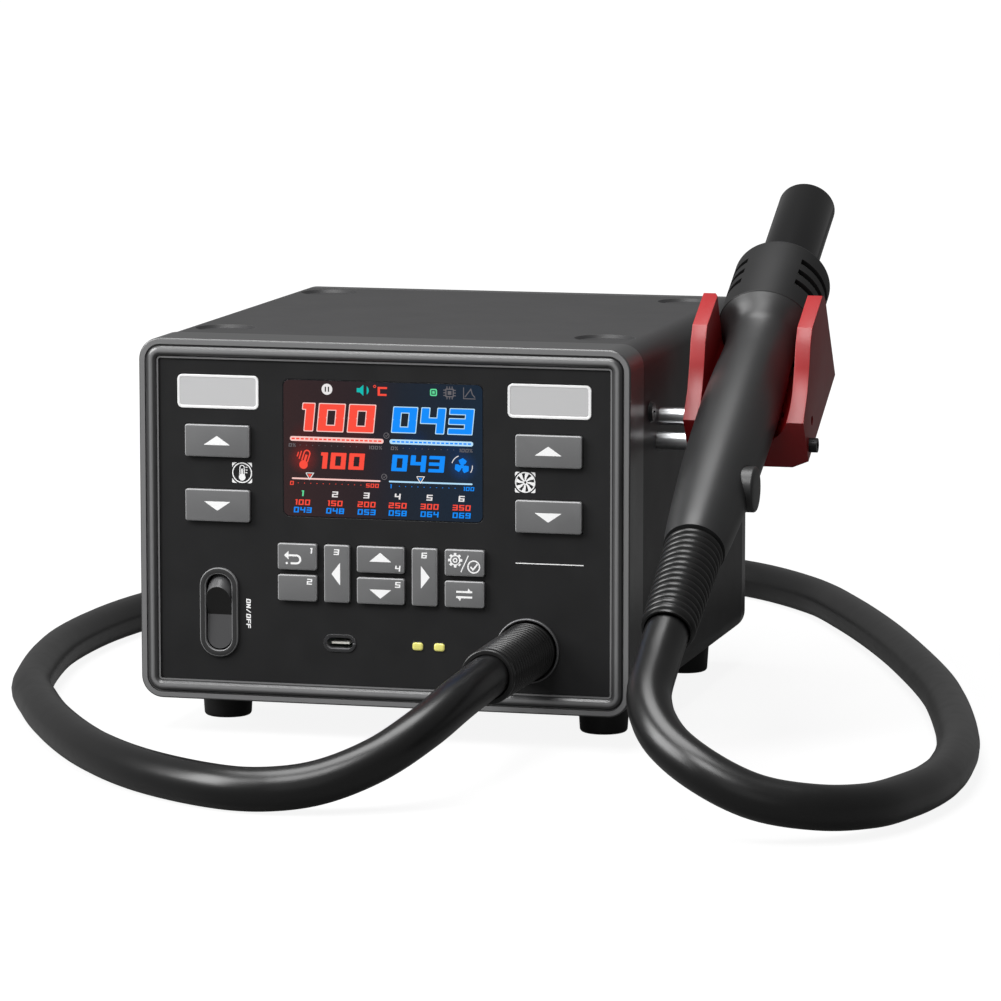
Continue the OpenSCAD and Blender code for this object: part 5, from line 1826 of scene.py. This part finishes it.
@dataclass
class Handset:
    """The handset: heater tube, slotted collar, handle, button and boot."""

    tilt: float = 27.6
    joint: Spot = (129.3, -23.4, 150.8)
    tube_r: float = 11.2
    tube_wall: float = 0.7
    tube_end: float = 89.2
    collar_r: float = 18.8
    collar_wall: float = 2.0
    collar_len: float = 36.2
    collar_front: float = 2.0
    flange_r: float = 16.7
    flange: float = 1.2
    slots: tuple[float, ...] = (12, 19, 26)
    slot_starts: tuple[float, ...] = (-56, 170)
    slot_turn: float = 66
    slot_gap: float = 3.2
    handle_wall: float = 2.0
    handle_form: tuple[Flat, ...] = (
        (18.5, 0), (17, -3), (14.2, -8), (13.4, -13), (13.5, -22), (14.3, -36), (14.9, -60),
        (14.5, -92), (13.3, -118), (12.3, -134), (11.4, -142.8),
    )
    button_at: float = -104
    button_r: float = 8.5
    button_face: float = 15.9
    button_rim: tuple[float, float] = (5.4, 6.5)
    boot_ribs: int = 15
    boot_len: float = 50
    boot_r: float = 10.9
    boot_end_r: float = 9.9
    rib_r: float = 1.1
    boot_bore: float = 9.3
    boot_hole: float = 6.2
    boot_plug: Flat = (8.9, 9)
    boot_mouth: float = 8.4

    @property
    def place(self) -> Matrix:
        """Carries the handset's own axes, with Z along the nozzle, to the frame."""
        return shift(*self.joint) @ Matrix.Rotation(math.radians(self.tilt - 90), 4, "X")

    def build(self) -> None:
        """Makes the pieces of the handset."""
        self.put(self.tube(), HEAT_STEEL, "nozzle_tube")
        self.put(self.collar(), COLLAR_PAINT, "heater_collar")
        self.put(self.handle(), HANDSET_PAINT, "handle_shell")
        self.put(self.boot(), BOOT_RUBBER, "handle_boot")
        button = settle(self.button(), self.place)
        dressed(soften(button), HANDSET_PAINT, "trigger", ["handle_button"])

    def put(self, obj: Piece, finish: Finish, node: str) -> None:
        """Places one piece on the handset and dresses it."""
        settle(obj, self.place)
        dressed(soften(obj), finish, "handset", [node])

    def tube(self) -> Piece:
        """Turns the heater tube with its rounded lip and inner flange.

        Returns:
            The tube, in the handset's own axes.
        """
        r, end = self.tube_r, self.tube_end
        inner, back = r - self.tube_wall, self.collar_len - self.collar_front - self.flange
        mouth = arc(r - 0.3, end - 0.3, 0.3, 0, 90, 4)
        throat = arc(inner + 0.2, end - 0.2, 0.2, 90, 180, 3)
        return turned("heater_tube", [
            (inner, back), (self.flange_r, back), (self.flange_r, back + self.flange),
            (r - 0.2, back + self.flange),
            (r - 0.2, self.collar_len + 0.15), (r, self.collar_len + 0.3), *mouth, *throat,
            (inner, end - 6), (inner, back)])

    def collar(self) -> Piece:
        """Turns the collar and cuts its cooling slots.

        Returns:
            The collar, in the handset's own axes.
        """
        r, inner, end = self.collar_r, self.collar_r - self.collar_wall, self.collar_len
        hole = self.tube_r + 0.25
        obj = turned("slotted_collar", [
            (inner, 0.3), (inner + 0.3, 0), (r - 0.4, 0), (r, 0.4), (r, 8), (r, 20),
            *arc(r - 1.8, end - 1.8, 1.8, 0, 90, 8), (hole + 0.5, end),
            *arc(hole + 0.4, end - 0.4, 0.4, 90, 180, 3), (hole, end - self.collar_front),
            (inner, end - self.collar_front), (inner, 0.3)])
        for start in self.slot_starts:
            for z in self.slots:
                carve(obj, self.slot_cutter(start, z))
        return obj

    def slot_cutter(self, start: float, z: float) -> Piece:
        """Shapes a curved bar that cuts one slot.

        Args:
            start: The angle where the slot begins, in degrees.
            z: Its height on the collar.

        Returns:
            The cutter.
        """
        clear_bench()
        bpy.ops.mesh.primitive_plane_add(size=MM, rotation=(math.radians(90), 0, 0))
        obj = named("slot_cutter")
        bpy.ops.object.transform_apply()
        with editing(obj):
            bpy.ops.transform.resize(value=(6, 1, self.slot_gap), center_override=(0, 0, 0))
            bpy.ops.transform.translate(value=((self.collar_r - 0.5) * MM, 0, z * MM))
            bpy.ops.mesh.spin(steps=28, angle=-math.radians(self.slot_turn), center=(0, 0, 0),
                              axis=(0, 0, 1))
            seal()
        return settle(obj, Matrix.Rotation(math.radians(start), 4, "Z"))

    def handle(self) -> Piece:
        """Turns the hollow handle and bores it for the button.

        Returns:
            The handle, in the handset's own axes.
        """
        form = [Vector((*p, 0)) for p in self.handle_form]
        outer = [(p.x, p.y) for p in smooth_line(form, 6)]
        inner = [(r - self.handle_wall, z) for r, z in reversed(outer)]
        obj = turned("handle_skin", [*outer, *inner, outer[0]], 112)
        clear_bench()
        bpy.ops.mesh.primitive_cylinder_add(vertices=64, radius=(self.button_r + 0.2) * MM,
                                            depth=20 * MM)
        carve(obj, settle(named("button_bore"), shift(16, 0, self.button_at) @ SIDE))
        return obj

    def button(self) -> Piece:
        """Turns the push button with its crowned face.

        Returns:
            The button, in the handset's own axes.
        """
        r, face = self.button_r, self.button_face
        back, front = self.button_rim
        obj = turned("push_button", [
            (NEAR_AXIS, back), (r + 1, back), (r + 1, front), (r, front),
            *arc(r - 0.9, face - 1.1, 0.9, 0, 75, 5), (5.5, face - 0.05), (2.5, face - 0.02),
            (NEAR_AXIS, face - 0.01)], 64)
        obj.data.transform(shift(0, 0, self.button_at) @ SIDE)
        return obj

    def boot(self) -> Piece:
        """Turns the ribbed boot behind the handle.

        Returns:
            The boot, in the handset's own axes.
        """
        top = self.handle_form[-1][1]
        end, inner, edge_r = top - self.boot_len, self.boot_hole, self.boot_r - self.rib_r
        (plug_r, plug), mouth = self.boot_plug, self.boot_mouth
        pitch = (self.boot_len - 2) / self.boot_ribs
        ribs = rib_row(self.boot_ribs, (self.boot_r, self.boot_end_r), top - pitch / 2 - 0.6,
                       -pitch, self.rib_r, 1.3, 78)
        return turned("ribbed_boot", [
            (inner, top + plug), (plug_r, top + plug), (plug_r, top), (edge_r, top), *ribs,
            (self.boot_end_r - self.rib_r, end + 0.3), (mouth + 0.8, end), (mouth + 0.1, end),
            (mouth, end + 0.4), (mouth, end + 2), (self.boot_bore, end + 3),
            (self.boot_bore, end + 10), (inner, end + 10), (inner, top + plug)])


# ---------------------------------------------------------------- holder


@dataclass
class Holder:
    """The red cradle that holds the handset beside the case."""

    handset: Handset
    x: float = 130.5
    width: float = 46
    rear: float = 5.5
    front: float = -53
    drop: float = 25.6
    rise: float = 19.4
    slot_half: float = 17.3
    slot_floor: float = 15.5
    crest: tuple[Flat, ...] = (
        (4.5, 5.5), (6.5, 1.7), (9, 0), (31, 0), (36.8, 3.9), (42.5, 10.5), (49.5, 16.8),
    )
    nose: Flat = (2.5, 23)
    seat: tuple[Flat, ...] = ((13.9, -12), (14.6, -8), (17.4, -3), (19.1, 0), (19.1, 12))
    edge: float = 1.1
    access: Spot = (18, 12.2, -41)
    access_r: float = 1.9

    def build(self) -> None:
        """Shapes the cradle, cuts its slot and access hole, and places it."""
        body = self.block()
        self.trim_corners(body)
        carve(body, self.slot())
        round_edges(body, self.edge, 4, 25)
        carve(body, self.access_drill())
        settle(body, self.handset.place @ shift(self.x - self.handset.joint[0], 0, 0))
        dressed(soften(body, 22), RED, "station", ["holder"])

    def outline(self) -> list[Flat]:
        """Lists the side outline.

        Returns:
            Its corners, as distance along the handset and height.
        """
        return [(self.rear, -self.drop),
                *((self.rear - a, self.rise - b) for a, b in self.crest),
                (self.front - self.nose[0], self.rise - self.nose[1]), (self.front, -self.drop)]

    def block(self) -> Piece:
        """Draws the side outline and thickens it to the holder's width.

        Returns:
            The block.
        """
        sheet = Sheet("cradle")
        sheet.patch(self.outline())
        body = thicken(sheet.close(), self.width)
        # drawing X runs along the handset's Z, drawing Y along its -Y and thickness along its X
        place = Matrix(((0, 0, 1, -self.width / 2 * MM), (0, -1, 0, 0), (1, 0, 0, 0), (0, 0, 0, 1)))
        body.data.transform(place)
        with editing(body):
            bpy.ops.mesh.normals_make_consistent(inside=False)
        return body

    def trim_corners(self, body: Piece) -> None:
        """Cuts the two slanted corners under the cradle.

        Args:
            body: The block.
        """
        for side in (-1, 1):
            with editing(body):
                bpy.ops.mesh.bisect(
                    plane_co=(side * (self.width / 2 - 3.2) * MM, (self.drop - 1.6) * MM, 0),
                    plane_no=(side * 0.447, 0.894, 0), clear_outer=True, use_fill=True)

    def access_drill(self) -> Piece:
        """Shapes the drill that opens the outer wall to a screwdriver.

        Returns:
            The drill, in the handset's own axes.
        """
        clear_bench()
        bpy.ops.mesh.primitive_cylinder_add(vertices=32, radius=self.access_r * MM, depth=30 * MM)
        return settle(named("access_drill"), shift(*self.access) @ SIDE)

    def slot(self) -> Piece:
        """Shapes what is cut out: a slot with a round floor and a flared seat.

        Returns:
            The cutter.
        """
        half, floor = self.slot_half, self.slot_floor
        reach = self.rise + 12
        long = Sheet("slot_cutter")
        long.patch([(-half, -reach), (half, -reach),
                    *arc(0, floor - half, half, 0, 180, 24)])
        cutter = thicken(long.close(), self.rear - self.front + 20)
        settle(cutter, shift(0, 0, self.front - 10))
        flare = turned("flare_cutter", [(NEAR_AXIS, self.seat[0][1]), *self.seat,
                                        (NEAR_AXIS, self.seat[-1][1])], 72)
        upper = Sheet("flare_cutter_upper")
        upper.patch([*self.seat, *((-r, z) for r, z in reversed(self.seat))])
        wedge = settle(thicken(upper.close(), self.rise + 10), FRONT)
        off = self.handset.joint[0] - self.x
        for part in (flare, wedge):
            carve(cutter, settle(part, shift(off, 0, 0)), Cut.ADD)
        return cutter


# ---------------------------------------------------------------- hose


@dataclass
class AirHose:
    """The rubber air hose between the station and the handset, and its ribbed sleeve."""

    diameter: float = 16
    sleeve_len: float = 60
    sleeve_r: float = 10.9
    sleeve_tip_r: float = 10.2
    sleeve_ribs: int = 17
    rib_depth: float = 1.0
    sleeve_flange_r: float = 12.8
    sleeve_flange: Flat = (-5.9, -3.1)
    gland: Spot = (56, -105.5, 37.3)
    route: tuple[Spot, ...] = (
        (129.3, -210, 53), (131, -230, 43), (140, -246, 33), (156, -256, 24), (175, -257, 16),
        (195, -249, 12), (210, -231, 10), (218, -205, 9), (222, -180, 8.3), (223, -150, 8),
        (219, -105, 8), (208, -50, 8), (192, 12, 8), (171, 74, 8), (147, 136, 8),
        (121, 194, 8), (97, 238, 8), (62, 277, 8), (20, 298, 8), (-28, 303, 8),
        (-73, 284, 8), (-111, 248, 8), (-140, 202, 8), (-170, 126, 8), (-174.5, 36, 8),
        (-157.5, -54, 8), (-139, -100, 8), (-115, -146, 8), (-87, -189, 8),
        (-58, -221, 8), (-27, -242, 8), (-5, -247, 8.3), (15, -243, 11), (33, -233, 18),
        (46, -218, 27), (53, -198, 34), (56, -173, 37.3),
    )
    start: Spot = (129.3, -194.5, 61.3)
    finish: Spot = (56, -157.5, 37.3)

    def build(self) -> None:
        """Makes the hose and its sleeve."""
        self.hose()
        self.sleeve()

    def hose(self) -> None:
        line = smooth_line([Vector(p) * MM for p in (self.start, *self.route, self.finish)], 8)
        data = bpy.data.curves.new("hose_line", "CURVE")
        data.dimensions = "3D"
        data.bevel_depth = self.diameter / 2 * MM
        data.bevel_resolution = 8
        data.use_fill_caps = True
        spline = data.splines.new("POLY")
        spline.points.add(len(line) - 1)
        for point, p in zip(spline.points, line):
            point.co = (*p, 1)
        spline.use_smooth = True
        hose = linked("air_hose", data)
        hose.data.materials.append(HOSE_RUBBER.build())
        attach(hose, "station")
        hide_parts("hose")

    def sleeve(self) -> None:
        """Turns the ribbed sleeve, with its plain tip and the seat for the hose."""
        end, tip = self.sleeve_len, 3.2
        foot = 1.5
        ribs = rib_row(self.sleeve_ribs, (self.sleeve_r, self.sleeve_tip_r), foot,
                       (end - tip - foot) / self.sleeve_ribs, self.rib_depth, 1.25, 72)
        flange_r, (back, front) = self.sleeve_flange_r, self.sleeve_flange
        r, seat, bore = self.sleeve_tip_r, self.diameter / 2 + 0.15, self.diameter / 2 - 1.2
        obj = turned("ribbed_sleeve", [
            (bore, back), (flange_r, back), (flange_r, front), (self.sleeve_r, front),
            (self.sleeve_r - self.rib_depth, 0), *ribs,
            (r - 0.5, end - tip + 0.1), (r, end - tip + 0.5), (r, end - 0.7),
            *arc(r - 0.7, end - 0.7, 0.7, 20, 90, 4), (seat + 0.3, end), (seat, end - 0.3),
            (seat, end - 8), (bore, end - 8), (bore, back)])
        settle(obj, shift(*self.gland) @ FRONT)
        dressed(soften(obj, 50), BOOT_RUBBER, "station", ["hose_sleeve"])


# ---------------------------------------------------------------- studio


@dataclass
class Studio:
    """The floor, lamps and camera."""

    eye: Spot = (537.0, -2015.0, 365.6)
    turn: Spot = (82.1506, 0.0, 14.4317)
    lens: float = 191.919
    sensor: float = 36
    aim: Spot = (0, 0, 80)
    floor_size: float = 14
    floor_fade: Flat = (0.35, 1.1)
    ambient: float = 0.15
    gloss: float = 0.07
    floor_gloss: float = 0.06
    floor_tone: float = 0.1
    lamps: tuple[tuple[str, Spot, float, float], ...] = (
        ("key_box", (-1600, -1050, 1250), 1.3, 58.0),
        ("strip_box", (-150, -1500, 1900), 0.9, 26.0),
        ("front_box", (300, -2500, 500), 1.5, 2.5),
        ("top_box", (-200, -50, 1900), 1.1, 30.0),
    )

    def build(self) -> None:
        """Sets up the floor, the world, the lamps and the camera."""
        self.build_floor()
        self.build_world()
        self.build_lamps()
        self.build_camera()

    def build_camera(self) -> None:
        """Adds the camera."""
        data = bpy.data.cameras.new("camera")
        data.lens = self.lens
        data.sensor_width = self.sensor
        data.clip_end = 50
        camera = linked("camera", data)
        camera.location = Vector(self.eye) * MM
        camera.rotation_euler = [math.radians(a) for a in self.turn]
        bpy.context.scene.camera = camera

    def seen(self, nodes: Nodes, gloss: float) -> Socket:
        """Gives how much of the white ground shows: all to the eye, less in a gloss.

        Args:
            nodes: The tree that needs it.
            gloss: The share that a gloss shows.

        Returns:
            The share, as a socket.
        """
        path = nodes.add("LightPath").outputs
        glossy = nodes.maths("MULTIPLY", path["Is Glossy Ray"], gloss)
        return nodes.maths("MAXIMUM", path["Is Camera Ray"], nodes.maths(
            "MAXIMUM", glossy, path["Is Transmission Ray"]))

    def build_floor(self) -> None:
        """Adds a floor that is white to the camera and keeps the shadow."""
        clear_bench()
        bpy.ops.mesh.primitive_plane_add(size=self.floor_size)
        floor = named("bench_top")
        made, nodes = new_material("bench_white")
        away = nodes.add("VectorMath", {0: nodes.add("TexCoord").outputs["Object"]},
                         operation="LENGTH").outputs["Value"]
        near, far = self.floor_fade
        fill = nodes.add("MapRange", {0: away, 1: near, 2: far, 3: 1 - self.floor_tone, 4: 1.0},
                         interpolation_type="SMOOTHSTEP").outputs[0]
        lift = nodes.maths("MULTIPLY", self.seen(nodes, self.floor_gloss), fill)
        nodes.shade({"Base Color": (*(self.floor_tone,) * 3, 1), "Roughness": 0.9,
                     "Specular IOR Level": 0.0, "Emission Color": (1, 1, 1, 1),
                     "Emission Strength": lift})
        floor.data.materials.append(made)

    def build_world(self) -> None:
        """Gives a soft pale surround that is white where it is seen."""
        world = bpy.data.worlds.new("surround")
        world.use_nodes = True
        nodes = Nodes(world.node_tree)
        strength = nodes.add("MapRange", {0: self.seen(nodes, self.gloss), 3: self.ambient,
                                          4: 1.0}).outputs[0]
        nodes.feed(world.node_tree.nodes["Background"],
                   {"Color": (1, 1, 1, 1), "Strength": strength})
        bpy.context.scene.world = world

    def build_lamps(self) -> None:
        """Adds the soft boxes."""
        for name, spot, size, power in self.lamps:
            data = bpy.data.lights.new(name, "AREA")
            data.size = size
            data.energy = power
            lamp = linked(name, data)
            lamp.location = Vector(spot) * MM
            away = Vector(self.aim) * MM - lamp.location
            lamp.rotation_euler = away.to_track_quat("-Z", "Y").to_euler()


def dress_frame() -> None:
    """Gives every CAD node its finish."""
    for name, node in frame["nodes"].items():
        node.data.materials.clear()
        node.data.materials.append(DRESS.get(name, KEY_PLASTIC).build())


def main() -> None:
    """Builds the looks in order."""
    bpy.context.scene.view_settings.view_transform = "Standard"
    dress_frame()
    Studio().build()
    AirHose().build()
    numerals = Numerals(wide=0.94, upright=0.25, level=0.19, gap=0.24)
    KeyPad(numerals).build()
    large = Numerals()
    Display(large, numerals).build()
    FrontTrim(large).build()
    for style in (large, numerals):
        style.clear()
    Rocker().build()
    Sockets().build()
    handset = Handset()
    handset.build()
    Holder(handset).build()


if __name__ == "__main__":
    logging.basicConfig(level=logging.INFO)
    main()
